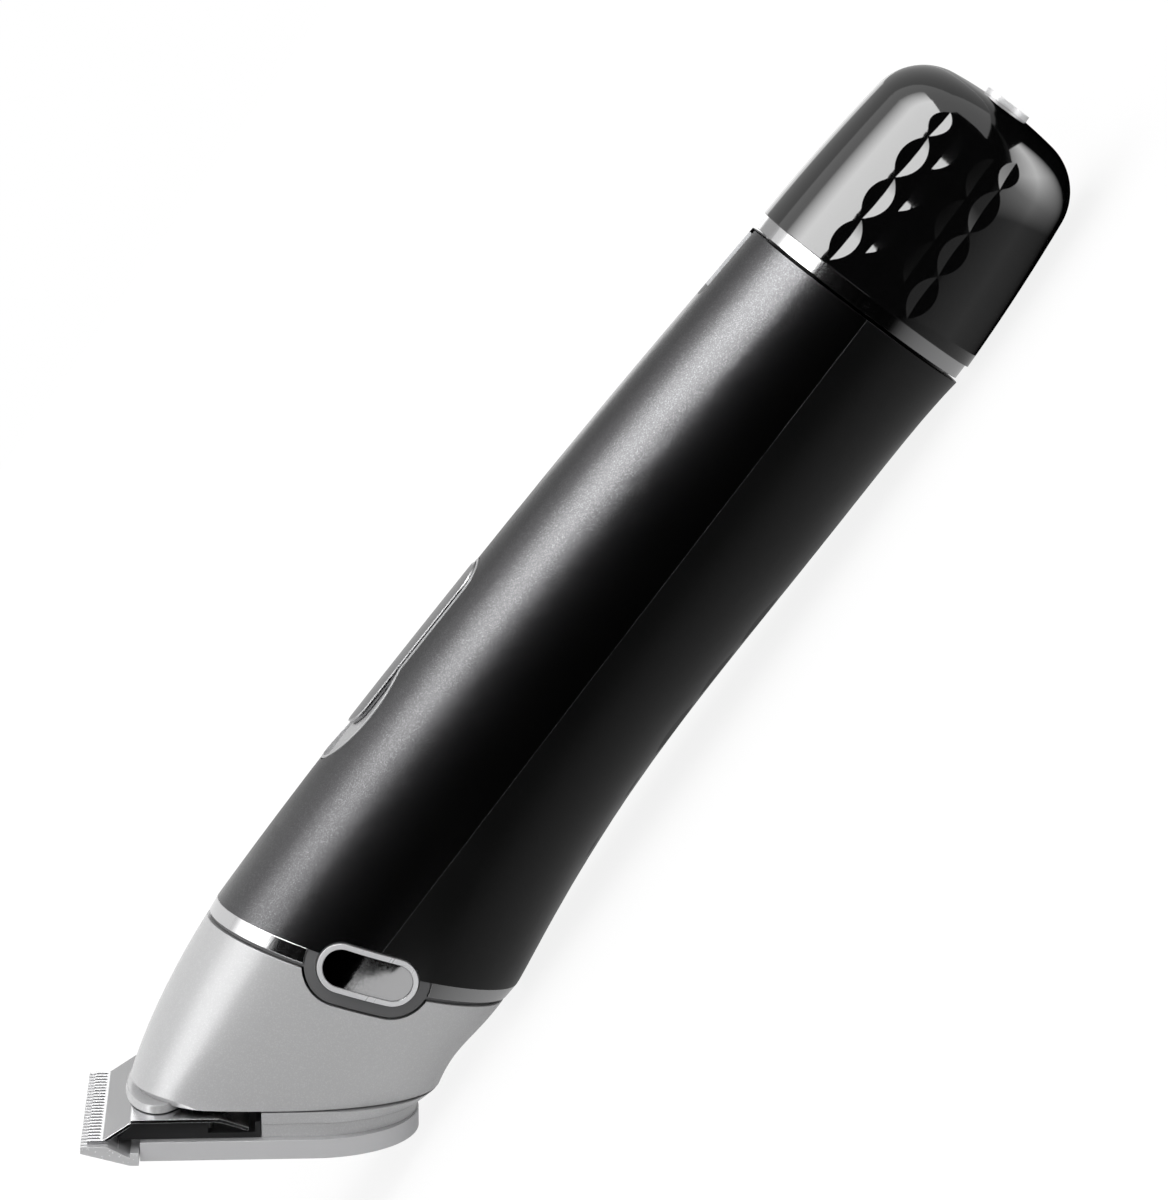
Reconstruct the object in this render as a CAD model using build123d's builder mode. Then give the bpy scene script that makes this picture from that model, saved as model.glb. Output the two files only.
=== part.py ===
"""Cordless hair clipper, lying on its back: +X to the end cap, +Z to the switch side, Y across."""

import os
from math import asin, cos, degrees, radians, sin, tan

from build123d import *

# Handle: a bent oval body between the slanted neck and the round rim under the end cap
body_length = 95.7
neck_front_z = 35.9
neck_back_z = 0.45
neck_half_width = 16.2
neck_slant = 19.0
rim_radius = 15.15
rim_z = 15.2
axis_droop = 1.5
shell_wall = 1.8
# Each swell is a section of the body: place along it, front height, back height, half width
body_swells = [
    (17.8, 35.35, 1.85, 15.9),
    (42.8, 34.15, 2.9, 15.5),
    (68.8, 32.55, 1.75, 15.25),
    (84.0, 31.35, 1.05, 15.2),
]
lip_height = 0.8
lip_start = 10.0
lip_length = 78.0

# End cap and the bright ring under it
cap_gap = 0.4
ring_width = 1.9
ring_inset = 0.35
ring_sleeve = 4.0
ring_sleeve_wall = 0.9
cap_length = 27.1
cap_base_radius = 15.1
cap_middle_radius = 14.75
cap_shoulder_radius = 13.6
cap_shoulder_length = 7.0
cap_end_flat_radius = 7.2
cap_dome = 0.5
cap_wall = 1.7
cap_end_wall = 2.6
cap_seat_length = 2.6

# Facets: each is a hollow ground by a wheel with a V edge
facet_depth = 0.45
facet_slope = 12.5
cap_facet_length = 6.1
cap_facet_columns = 5
cap_facet_rows = 4
cap_facet_pitch = 11.0
cap_facet_turn = 7.7
cap_facet_start = 3.6
grip_facet_length = 7.9
grip_facet_columns = 3
grip_facet_rows = 5
grip_facet_pitch = 19.0
grip_start = 26.5

# Charging socket in the middle of the cap's end
jack_hole_radius = 2.45
jack_rim_radius = 3.0
jack_rim_proud = 0.6
jack_front_wall = 0.8
jack_cavity_radius = 3.2
jack_body_radius = 4.0
jack_body_length = 11.0
jack_pin_radius = 0.65
jack_pin_length = 7.0
jack_boss_wall = 1.2
jack_boss_length = 8.0

# Neck: trim arcs, collar, release buttons and the gap to the head
trim_width = 1.8
trim_thickness = 0.8
joint_gap = 2.4
collar_shy = 0.45
collar_depth = 10.8
neck_taper = 0.1
pill_length = 12.2
pill_width = 5.8
pill_offset = 0.9
pill_frame_wall = 0.6
pill_proud = 0.4
pill_inner = 13.4
pill_floor = 0.7
pill_flange = 0.6
boss_margin = 1.5
pocket_floor = 12.3
spring_thickness = 0.25
spring_width = 2.0
spring_length = 8.0

# Power switch on the front
switch_place = 30.1
switch_slope = 2.2
bezel_length = 30.4
bezel_width = 7.6
bezel_rim = 0.4
bezel_proud = 0.05
bezel_floor_depth = 0.5
bezel_depth = 2.1
dish_length = 17.0
dish_width = 10.8
knob_length = 24.2
knob_width = 6.2
knob_proud = 0.2
slider_travel = 4.0
stem_length = 8.0
stem_width = 3.0
carriage_thickness = 1.2
carriage_drop = 1.0
carriage_width = 7.0
carriage_reach = 9.0

# Charge light in the front, beside the cap
light_slot_length = 9.6
light_slot_width = 3.2
light_stem = 2.4
led_radius = 1.5
led_height = 3.0

# Motor and its eccentric
motor_radius = 10.0
motor_length = 25.0
motor_flat_half = 7.7
motor_front = 12.0
motor_bell_length = 3.0
motor_boss_radius = 3.0
motor_boss_length = 1.5
mount_thickness = 1.2
mount_radius = 12.4
shaft_radius = 1.0
shaft_reach = 15.2
cam_radius = 2.0
cam_offset = 0.6
cam_length = 5.4
cam_sleeve_radius = 2.4
cam_sleeve_length = 6.0
motor_screw_place = 6.0

# Inner tray, battery and board
tray_z = 19.2
tray_thickness = 1.6
tray_start = 39.0
tray_end = 90.0
cradle_wall = 1.5
rib_thickness = 1.6
battery_radius = 7.1
battery_length = 48.0
battery_start = 41.0
battery_z = 11.9
tab_thickness = 0.4
tab_width = 8.0
board_z = 22.4
board_thickness = 1.2
board_length = 48.0
board_width = 18.0
board_start = 40.5
board_screw_inset = 2.6
switch_body_length = 9.6
switch_body_width = 5.0
switch_body_height = 4.2
nub_size = 1.6
boss_radius = 2.0
boss_y = 9.8
boss_places = (47.5, 81.5)

# Head: its own frame has u along the sole to the teeth and h up into the head
sole_tilt = 54.2
heel_back = 15.1
sole_length = 33.2
sole_half_width = 16.0
sole_thickness = 2.25
sole_rear_round = 12.6
sole_screw_u = 10.5
sole_screw_y = 9.8
housing_wall = 1.6
# Each head swell is a section of the housing: front u, front h, back u, back h, half width
head_swells = [(27.3, 22.6, -8.5, 13.2, 16.1), (31.2, 15.2, -5.5, 10.0, 15.8)]
rim_front_u = 34.9
rim_back_u = -2.6
rim_h = 5.5
rim_half_width = 15.0
bevel_height = 1.7
bevel_depth = 1.3
foot_u = 31.2
foot_reach = 4.0
foot_half_width = 13.0
foot_inner_u = 31.6
foot_height = 0.85
foot_taper = 15.0
foot_rib_height = 1.2
bracket_thickness = 1.6
spigot_radius = 10.5
spigot_wall = 1.4
spigot_reach = 10.3
spigot_inside = 7.6

# Head base: a tapered band under the housing, a sunk band above the sole and a plug inside the housing
base_top_h = 5.3
base_step_h = 3.9
base_front_u = 18.85
base_top_rear = -2.4
base_step_rear = -0.6
base_sunk_rear = 0.2
base_step_inset = 0.3
base_sunk_inset = 0.5
base_plug_height = 2.0
base_plug_wall = 1.2

# Blade set
blade_width = 36.0
blade_length = 6.95
blade_plane_h = 2.35
blade_tip_thickness = 0.8
blade_land = 3.0
blade_floor = 0.9
blade_lip_width = 1.0
blade_lip_height = 1.5
tongue_length = 8.4
tongue_thickness = 0.55
tongue_width = 24.0
tooth_count = 25
tooth_pitch = 1.42
tooth_gap = 0.7
tooth_depth = 3.2
cutter_width = 33.6
cutter_flange_width = 31.0
cutter_sheet = 0.4
cutter_gap = 0.05
cutter_tip_back = 0.8
cutter_plate_length = 1.9
cutter_tooth_length = 1.5
cutter_rise = 2.05
cutter_rise_run = 3.2
cutter_bend_radius = 0.8
cutter_flange_u = 23.8
cutter_tail_u = 20.4
cutter_tail_drop = 1.1

# Drive lever in the head
pivot_u = 16.0
lever_thickness = 1.8
lever_h = 5.8
lever_tip_u = 28.5
lever_tip_radius = 2.2
lever_hub_radius = 3.4
drive_pin_radius = 1.15
drive_slot_play = 0.55
pivot_radius = 1.5
fork_prong = 2.0
fork_depth = 3.0
fork_top_past = 2.2
swing_room = 0.3

# Screws and the sheet spring wire
screw_radius = 0.9
screw_head_radius = 1.7
screw_head_height = 1.1
spring_wire = 0.6
spring_arm_y = 10.2
spring_reach_u = 27.0
spring_seat = 5.0

# Dark guide block under the cutter's flange
guide_half_width = 14.4
guide_nose_u = 35.9
guide_nose_h = 2.4
guide_channel_front = 1.4
guide_channel_rear = 0.8

# Fits
slide_fit = 0.1
part_fit = 0.15
open_fit = 0.3

# Handle lengths of the ovals' curves, as shares of the half axes: 0.5523 draws an ellipse
ROUND = 0.5523
FULLER = 0.6
SQUARER_FRONT = 0.74
SQUARER_BACK = 0.62
BEVEL_FRONT = 0.71

# Places that follow from the sizes
slant = radians(neck_slant)
droop = radians(axis_droop)
tilt = radians(sole_tilt)
neck_z = (neck_front_z + neck_back_z) / 2
neck_reach = (neck_front_z - neck_back_z) / 2 / cos(slant)
cap_start = cap_gap + ring_width
blade_tip_u = sole_length + blade_length
blade_tip_low_h = blade_plane_h - blade_tip_thickness
head_reach = heel_back + blade_tip_u * cos(tilt) - blade_tip_low_h * sin(tilt)
cap_reach = (cap_start + cap_length + jack_rim_proud) * cos(droop)
neck_x = (head_reach - body_length - cap_reach) / 2
rim_x = neck_x + body_length
heel_x = neck_x - heel_back
sleeve_radius = rim_radius - shell_wall - slide_fit
cutter_h = blade_plane_h + cutter_gap + cutter_sheet / 2
flange_h = cutter_h + cutter_rise
spring_h = flange_h + cutter_sheet / 2 + cutter_gap + spring_wire / 2

HEAD = Plane(
    origin=(heel_x, 0, 0), x_dir=(-cos(tilt), 0, sin(tilt)), z_dir=(sin(tilt), 0, cos(tilt))
)
NECK = Plane(
    origin=(neck_x, 0, neck_z),
    x_dir=(-sin(slant), 0, cos(slant)),
    z_dir=(-cos(slant), 0, -sin(slant)),
)
RIM = Plane(
    origin=(rim_x, 0, rim_z), x_dir=(sin(droop), 0, cos(droop)), z_dir=(cos(droop), 0, -sin(droop))
)
CAP_PROFILE = Plane(origin=RIM.origin, x_dir=RIM.z_dir, z_dir=(0, -1, 0))
CAP_AXIS = Axis(RIM.origin, RIM.z_dir)
PARTING = Plane(
    origin=(neck_x, 0, neck_z),
    x_dir=(body_length, 0, rim_z - neck_z),
    z_dir=(neck_z - rim_z, 0, body_length),
)


def head_point(u, h):
    """Place in the symmetry plane, as (x, z), of a point of the head's own frame."""
    place = HEAD.from_local_coords((u, 0, h))
    return place.X, place.Z


def oval(front, back, half_width, inset=0.0, front_handle=ROUND, back_handle=ROUND):
    """Oval across the symmetry plane, between a front and a back point given as (x, z)."""
    rise = Vector(front[0] - back[0], 0, front[1] - back[1])
    middle = Vector((front[0] + back[0]) / 2, 0, (front[1] + back[1]) / 2)
    up = rise.normalized()
    reach = rise.length / 2 - inset
    width = half_width - inset
    corners = [Vector(reach, 0), Vector(0, width), Vector(-reach, 0), Vector(0, -width)]
    handles = [front_handle, back_handle, back_handle, front_handle]
    with BuildSketch(Plane(origin=middle, x_dir=up, z_dir=(up.Z, 0, -up.X))) as outline:
        with BuildLine():
            for index, handle in enumerate(handles):
                start = corners[index]
                end = corners[(index + 1) % len(corners)]
                Bezier(start, start + end * handle, end + start * handle, end)
        make_face()
    return outline.sketch


def neck_section(away, inset=0.0):
    """Oval of the neck, a distance away from the shells' end towards the head."""
    x = neck_x - away / cos(slant)
    reach = neck_reach - away * neck_taper
    lean, rise = reach * sin(slant), reach * cos(slant)
    return oval((x - lean, neck_z + rise), (x + lean, neck_z - rise), neck_half_width, inset)


def neck_band(start, end, inset):
    """Solid slice of the neck between two distances from the shells' end."""
    with BuildPart() as band:
        loft(sections=[neck_section(start, inset), neck_section(end, inset)])
    return band.part


def body_form(inset):
    """Solid body from the neck to the rim, drawn in from the skin by the inset."""
    sections = [neck_section(0, inset)]
    for place, front_z, back_z, half_width in body_swells:
        x = neck_x + place
        sections.append(oval((x, front_z), (x, back_z), half_width, inset))
    lean, rise = rim_radius * sin(droop), rim_radius * cos(droop)
    sections.append(oval((rim_x + lean, rim_z + rise), (rim_x - lean, rim_z - rise), rim_radius, inset))
    with BuildPart() as form:
        loft(sections=sections)
    return form.part


def housing_form(inset, start, rim=rim_h):
    """Solid head from the neck joint to the housing's rim, drawn in by the inset."""
    sections = [neck_section(start, inset)]
    for handle, (front_u, front_h, back_u, back_h, half_width) in zip((ROUND, FULLER), head_swells):
        front, back = head_point(front_u, front_h), head_point(back_u, back_h)
        sections.append(oval(front, back, half_width, inset, handle))
    front, back = head_point(rim_front_u, rim), head_point(rim_back_u, rim)
    sections.append(oval(front, back, rim_half_width, inset, SQUARER_FRONT, SQUARER_BACK))
    with BuildPart() as form:
        loft(sections=sections)
    return form.part


def front_bevel():
    """Ring outside the housing whose inner wall draws the rim's front in, and leaves its back alone."""
    top_h = rim_h + bevel_height
    wide = sole_half_width + bevel_depth
    front, back = head_point(rim_front_u - bevel_depth, rim_h), head_point(rim_back_u - wide, rim_h)
    high_front, high_back = head_point(rim_front_u, top_h), head_point(rim_back_u - wide, top_h)
    with BuildPart() as ring:
        with BuildSketch(HEAD.offset(rim_h)):
            Rectangle(4 * sole_length, 4 * sole_half_width)
        extrude(amount=bevel_height)
        with BuildPart(mode=Mode.PRIVATE) as kept:
            loft(
                sections=[
                    oval(front, back, wide, 0, BEVEL_FRONT, ROUND),
                    oval(high_front, high_back, wide, 0, SQUARER_FRONT, ROUND),
                ],
                ruled=True,
            )
        add(kept.part, mode=Mode.SUBTRACT)
    return ring.part


def foot_outline(h):
    """Front part of the oval that the housing's foot has, at a height in the head."""
    with BuildSketch(HEAD.offset(h)) as outline:
        with Locations((foot_u, 0)):
            Ellipse(foot_reach, foot_half_width)
        with Locations((foot_inner_u, 0)):
            span = 2 * foot_half_width
            Rectangle(2 * foot_reach, span, align=(Align.MAX, Align.CENTER), mode=Mode.SUBTRACT)
    return outline.sketch


def pill(side, margin, inner, outer):
    """Prism of the release button's outline, grown by the margin, between two widths."""
    centre = NECK.from_local_coords((0, 0, pill_offset))
    face = Plane(origin=(centre.X, side * inner, centre.Z), x_dir=NECK.x_dir, z_dir=(0, side, 0))
    with BuildPart() as prism:
        with BuildSketch(face):
            SlotOverall(pill_length + 2 * margin, pill_width + 2 * margin)
        extrude(amount=outer - inner)
    return prism.part


def button_pocket(side):
    """Room of a release button: a wide pocket for its flange and a closer hole out through the skin."""
    with BuildPart() as room:
        add(pill(side, pill_flange + part_fit, pocket_floor, pill_inner + pill_floor + slide_fit))
        add(pill(side, part_fit, pocket_floor, 2 * neck_half_width))
    return room.part


def body_height(place, front=True):
    """Height of the body's front or back line at a place along it, from the nearest swells."""
    points = [(0, neck_front_z, neck_back_z)]
    points += [swell[:3] for swell in body_swells]
    points.append((body_length, rim_z + rim_radius, rim_z - rim_radius))
    column = 1 if front else 2
    for low, high in zip(points, points[1:]):
        if low[0] <= place <= high[0]:
            share = (place - low[0]) / (high[0] - low[0])
            return low[column] + share * (high[column] - low[column])
    raise ValueError(f"no body at {place}")


def facet_wheel(length):
    """Radius of the wheel whose cut of the facet depth has the given length."""
    return length**2 / (8 * facet_depth)


def grind(places, length):
    """Cut a V hollow of the given length at each plane, whose z looks out of the surface."""
    wheel = facet_wheel(length)
    edge = length / 2
    inner = wheel - edge * tan(radians(facet_slope))
    centres = [plane.offset(wheel - facet_depth) for plane in places]
    upright = [Plane(origin=plane.origin, x_dir=plane.x_dir, z_dir=plane.y_dir) for plane in centres]
    flipped = [Plane(origin=plane.origin, x_dir=plane.x_dir, z_dir=-plane.y_dir) for plane in centres]
    with BuildPart() as wheels:
        with Locations(*upright, *flipped):
            Cone(wheel, inner, edge, align=(Align.CENTER, Align.CENTER, Align.MIN))
    return wheels.part


def screw(length, head_height=screw_head_height):
    """Pan-head screw along +Z, with its head's top at the origin."""
    with BuildPart() as fastener:
        Cylinder(screw_head_radius, head_height, align=(Align.CENTER, Align.CENTER, Align.MAX))
        with Locations((0, 0, -head_height)):
            Cylinder(screw_radius, length, align=(Align.CENTER, Align.CENTER, Align.MAX))
        with BuildSketch():
            Rectangle(screw_head_radius, screw_head_height / 3)
        extrude(amount=-screw_head_height / 2, mode=Mode.SUBTRACT)
    return fastener.part


os.makedirs("parts", exist_ok=True)


def save(piece, name):
    """Label a finished piece and write it to its own file."""
    piece.part.label = name
    export_step(piece.part, f"parts/{name}.step")


# Switch plane: on the front skin, x to the cap, z out of the front
switch_x = neck_x + switch_place
switch_top = body_height(switch_place)
SWITCH = Plane(
    origin=(switch_x, 0, switch_top),
    x_dir=(cos(radians(switch_slope)), 0, -sin(radians(switch_slope))),
    z_dir=(sin(radians(switch_slope)), 0, cos(radians(switch_slope))),
)


def switch_prism(length, width, low, high, shift=0.0):
    """Slot-shaped prism on the switch plane between two heights."""
    with BuildPart() as prism:
        with BuildSketch(SWITCH.offset(low)):
            with Locations((shift, 0)):
                SlotOverall(length, width)
        extrude(amount=high - low)
    return prism.part


def bezel_prism(margin):
    """Prism through the skin with the bezel's outline: a slot with an oval thumb dish at its head end."""
    with BuildPart() as prism:
        with BuildSketch(SWITCH.offset(-3 * shell_wall)):
            SlotOverall(bezel_length + 2 * margin, bezel_width + 2 * margin)
            with Locations((-(bezel_length - dish_length) / 2, 0)):
                Ellipse(dish_length / 2 + margin, dish_width / 2 + margin)
        extrude(amount=4 * shell_wall)
    return prism.part


def lip_band(outer, inner, room):
    """Band within the shells' wall that stands up from the parting plane, with room round its ends and top."""
    with BuildPart() as band:
        add(body_form(outer))
        add(body_form(inner), mode=Mode.SUBTRACT)
        with BuildSketch(PARTING):
            with Locations((lip_start - room, 0)):
                Rectangle(lip_length + 2 * room, 4 * neck_half_width, align=(Align.MIN, Align.CENTER))
        extrude(amount=lip_height + room, mode=Mode.INTERSECT)
    return band.part


def sleeve_seat():
    """Round seat in the shells' rim for the ring's sleeve."""
    with BuildPart() as seat:
        with BuildSketch(RIM):
            Circle(sleeve_radius + part_fit)
        extrude(amount=-(ring_sleeve + open_fit))
    return seat.part


# Front shell
light_slot_end = body_length - light_slot_length
with BuildPart() as front_shell:
    add(body_form(0))
    add(body_form(shell_wall), mode=Mode.SUBTRACT)
    split(bisect_by=PARTING, keep=Keep.TOP)
    add(lip_band(shell_wall / 2, shell_wall + part_fit, slide_fit), mode=Mode.SUBTRACT)
    add(sleeve_seat(), mode=Mode.SUBTRACT)
    add(bezel_prism(part_fit), mode=Mode.SUBTRACT)
    with BuildSketch(Plane.XY.offset(rim_z + rim_radius / 2)):
        with Locations((neck_x + light_slot_end + light_slot_length, 0)):
            SlotOverall(2 * light_slot_length, light_slot_width)
    extrude(amount=rim_radius, mode=Mode.SUBTRACT)
    for side in (-1, 1):
        add(button_pocket(side), mode=Mode.SUBTRACT)
save(front_shell, "front_shell")

# Rear shell with its grip facets and the four posts that take the tray
with BuildPart() as rear_shell:
    add(body_form(0))
    add(body_form(shell_wall), mode=Mode.SUBTRACT)
    split(bisect_by=PARTING, keep=Keep.BOTTOM)
    add(lip_band(shell_wall / 2 + slide_fit, shell_wall, 0))
    add(sleeve_seat(), mode=Mode.SUBTRACT)
    for side in (-1, 1):
        add(button_pocket(side), mode=Mode.SUBTRACT)
    grip_planes = []
    for column in range(grip_facet_columns):
        angle = radians((column - (grip_facet_columns - 1) / 2) * grip_facet_pitch)
        odd = column % 2
        for row in range(grip_facet_rows - odd):
            place = grip_start + (row + odd / 2) * grip_facet_length
            back = body_height(place, front=False)
            half = (body_height(place) - back) / 2
            spot = (neck_x + place, half * sin(angle), back + half - half * cos(angle))
            grip_planes.append(Plane(origin=spot, x_dir=(1, 0, 0), z_dir=(0, sin(angle), -cos(angle))))
    add(grind(grip_planes, grip_facet_length), mode=Mode.SUBTRACT)
boss_spots = [(neck_x + place, side * boss_y) for place in boss_places for side in (-1, 1)]
with BuildPart() as tray_posts:
    with BuildSketch():
        with Locations(*boss_spots):
            Circle(boss_radius)
    extrude(amount=tray_z)
    add(body_form(shell_wall / 2), mode=Mode.INTERSECT)
    with BuildSketch(Plane.XY.offset(tray_z)):
        with Locations(*boss_spots):
            Circle(screw_radius)
    extrude(amount=-(tray_z - battery_z), mode=Mode.SUBTRACT)
with BuildPart() as rear_half:
    add(rear_shell.part)
    add(tray_posts.part)
save(rear_half, "rear_shell")

# Bright ring between the rim and the cap, with a sleeve that joins them
ring_radius = cap_base_radius - ring_inset
with BuildPart() as cap_ring:
    with BuildSketch(CAP_PROFILE):
        with Locations((cap_gap, sleeve_radius - ring_sleeve_wall)):
            Rectangle(ring_width, ring_radius - sleeve_radius + ring_sleeve_wall, align=Align.MIN)
        with Locations((-ring_sleeve, sleeve_radius - ring_sleeve_wall)):
            Rectangle(ring_sleeve + cap_start + cap_seat_length, ring_sleeve_wall, align=Align.MIN)
    revolve(axis=CAP_AXIS)
save(cap_ring, "cap_ring")

# End cap
cap_end = cap_start + cap_length
shoulder = cap_end - cap_shoulder_length


def cap_radius(place):
    """Radius and slope of the cap's side at a distance from the rim."""
    share = (place - cap_start) / (shoulder - cap_start)
    first = cap_base_radius + share * (cap_middle_radius - cap_base_radius)
    second = cap_middle_radius + share * (cap_shoulder_radius - cap_middle_radius)
    slope = 2 * (second - first) / (shoulder - cap_start)
    return first + share * (second - first), slope


with BuildPart() as end_cap:
    with BuildSketch(CAP_PROFILE):
        with BuildLine():
            side_line = Bezier(
                (cap_start, cap_base_radius),
                ((cap_start + shoulder) / 2, cap_middle_radius),
                (shoulder, cap_shoulder_radius),
            )
            flat_edge = (cap_end - cap_dome, cap_end_flat_radius)
            corner = TangentArc(side_line @ 1, flat_edge, tangent=side_line % 1)
            dome = ThreePointArc(
                corner @ 1, (cap_end - cap_dome / 4, cap_end_flat_radius / 2), (cap_end, 0)
            )
            Polyline(dome @ 1, (cap_start, 0), side_line @ 0)
        make_face()
    revolve(axis=CAP_AXIS)
    with BuildSketch(CAP_PROFILE):
        with BuildLine():
            seat_radius = sleeve_radius + slide_fit
            inner_end = cap_end - cap_end_wall
            Polyline(
                (cap_start, 0),
                (cap_start, seat_radius),
                (cap_start + cap_seat_length + slide_fit, seat_radius),
                (cap_start + cap_seat_length + slide_fit, cap_shoulder_radius - cap_wall / 2),
                (shoulder - cap_wall, cap_shoulder_radius - cap_wall),
                (inner_end - cap_wall, cap_shoulder_radius - 2 * cap_wall),
                (inner_end, cap_end_flat_radius),
                (inner_end, 0),
                close=True,
            )
        make_face()
    revolve(axis=CAP_AXIS, mode=Mode.SUBTRACT)
    with BuildSketch(CAP_PROFILE):
        with Locations((inner_end - jack_boss_length, jack_body_radius + slide_fit)):
            Rectangle(jack_boss_length, jack_boss_wall, align=Align.MIN)
    revolve(axis=CAP_AXIS)
    with BuildSketch(RIM.offset(cap_end + cap_dome)):
        Circle(jack_rim_radius + slide_fit)
    extrude(amount=-2 * cap_end_wall, mode=Mode.SUBTRACT)
    cap_planes = []
    for side in (-1, 1):
        for column in range(cap_facet_columns):
            angle = radians(cap_facet_turn + (column - (cap_facet_columns - 1) / 2) * cap_facet_pitch)
            odd = column % 2
            for row in range(cap_facet_rows - odd):
                place = cap_start + cap_facet_start + (row + odd / 2) * cap_facet_length
                radius, slope = cap_radius(place)
                outward = RIM.x_dir * sin(angle) + Vector(0, side * cos(angle), 0)
                along = (RIM.z_dir + outward * slope).normalized()
                face_out = (outward - RIM.z_dir * slope).normalized()
                spot = RIM.origin + RIM.z_dir * place + outward * radius
                cap_planes.append(Plane(origin=spot, x_dir=along, z_dir=face_out))
    add(grind(cap_planes, cap_facet_length), mode=Mode.SUBTRACT)
save(end_cap, "end_cap")

# Charging socket behind the cap's end wall, with a rim that stands out of the hole and a centre pin
jack_end = inner_end - jack_body_length
cavity_start = inner_end - jack_front_wall
with BuildPart() as charge_jack:
    with BuildSketch(CAP_PROFILE):
        with Locations((jack_end, 0)):
            Rectangle(jack_body_length, jack_body_radius, align=Align.MIN)
        with Locations((inner_end, 0)):
            Rectangle(cap_end_wall + jack_rim_proud, jack_rim_radius, align=Align.MIN)
        with Locations((cavity_start, 0)):
            Rectangle(2 * cap_end_wall, jack_hole_radius, align=Align.MIN, mode=Mode.SUBTRACT)
        with Locations((cavity_start, 0)):
            Rectangle(jack_pin_length, jack_cavity_radius, align=(Align.MAX, Align.MIN), mode=Mode.SUBTRACT)
        with Locations((cavity_start - slide_fit, 0)):
            Rectangle(jack_pin_length, jack_pin_radius, align=(Align.MAX, Align.MIN))
    revolve(axis=CAP_AXIS)
save(charge_jack, "charge_jack")

# Neck collar: fills the neck, shows as a dark line at the joint and carries the buttons
with BuildPart() as neck_collar:
    add(body_form(shell_wall + part_fit))
    split(bisect_by=Plane(origin=(neck_x + collar_depth, 0, 0), z_dir=(1, 0, 0)), keep=Keep.BOTTOM)
    add(neck_band(0, trim_width, trim_thickness + slide_fit))
    add(neck_band(trim_width, joint_gap - part_fit, collar_shy))
    for side in (-1, 1):
        add(pill(side, pill_flange + part_fit, pocket_floor, 2 * neck_half_width), mode=Mode.SUBTRACT)
        with BuildPart(mode=Mode.PRIVATE) as boss:
            add(pill(side, boss_margin, spigot_radius + collar_shy, 2 * neck_half_width))
            add(neck_band(0, 3 * joint_gap, part_fit), mode=Mode.INTERSECT)
            add(button_pocket(side), mode=Mode.SUBTRACT)
        add(boss.part)
    with BuildSketch(Plane(origin=(neck_x - body_length / 2, 0, neck_z), z_dir=(1, 0, 0))):
        Circle(spigot_radius + slide_fit)
    extrude(amount=body_length, mode=Mode.SUBTRACT)
save(neck_collar, "neck_collar")

# Two bright trim arcs on the collar, ending at the buttons' bosses
for name, keep in (("neck_trim_front", Keep.TOP), ("neck_trim_rear", Keep.BOTTOM)):
    with BuildPart() as trim:
        add(neck_band(0, trim_width, 0))
        add(neck_band(0, trim_width, trim_thickness), mode=Mode.SUBTRACT)
        for side in (-1, 1):
            add(pill(side, boss_margin + slide_fit, pocket_floor, 2 * neck_half_width), mode=Mode.SUBTRACT)
        split(bisect_by=Plane(origin=(neck_x, 0, neck_z), z_dir=(0, 0, 1)), keep=keep)
    save(trim, name)

# Release buttons: a bright frame, a gloss insert and a flat spring on each side
for word, side in (("left", 1), ("right", -1)):
    with BuildPart() as frame:
        add(pill(side, 0, pill_inner, 2 * neck_half_width))
        add(neck_band(-3 * joint_gap, 3 * joint_gap, -pill_proud), mode=Mode.INTERSECT)
        add(pill(side, pill_flange, pill_inner, pill_inner + pill_floor))
        add(pill(side, -pill_frame_wall, pill_inner + pill_floor, 2 * neck_half_width), mode=Mode.SUBTRACT)
    save(frame, f"release_frame_{word}")
    with BuildPart() as insert:
        add(pill(side, -pill_frame_wall, pill_inner + pill_floor, 2 * neck_half_width))
        add(neck_band(-3 * joint_gap, 3 * joint_gap, -pill_proud / 2), mode=Mode.INTERSECT)
    save(insert, f"release_insert_{word}")
    middle = NECK.from_local_coords((0, 0, pill_offset))
    leaf_seat = (middle.X, side * pocket_floor, middle.Z)
    leaf = Plane(origin=leaf_seat, x_dir=NECK.x_dir, z_dir=NECK.z_dir * side)
    with BuildPart() as leaf_spring:
        with BuildSketch(leaf):
            with BuildLine():
                half, rise = spring_length / 2, pill_inner - pocket_floor
                Polyline(
                    (-half, 0),
                    (0, rise - spring_thickness),
                    (half, 0),
                    (half, spring_thickness),
                    (0, rise),
                    (-half, spring_thickness),
                    close=True,
                )
            make_face()
        extrude(amount=spring_width / 2, both=True)
    save(leaf_spring, f"release_spring_{word}")

# Switch bezel: a slot and thumb dish with a rim, a sunk floor and a slit for the slider's stem
slit_length = stem_length + slider_travel + 2 * open_fit
with BuildPart() as slider_bezel:
    add(bezel_prism(0))
    add(body_form(-bezel_proud), mode=Mode.INTERSECT)
    add(body_form(bezel_depth), mode=Mode.SUBTRACT)
    with BuildPart(mode=Mode.PRIVATE) as pocket:
        add(bezel_prism(-bezel_rim))
        add(body_form(bezel_floor_depth), mode=Mode.SUBTRACT)
    add(pocket.part, mode=Mode.SUBTRACT)
    slit = switch_prism(slit_length, stem_width + 2 * open_fit, -4 * shell_wall, shell_wall)
    add(slit, mode=Mode.SUBTRACT)
save(slider_bezel, "slider_bezel")

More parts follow.
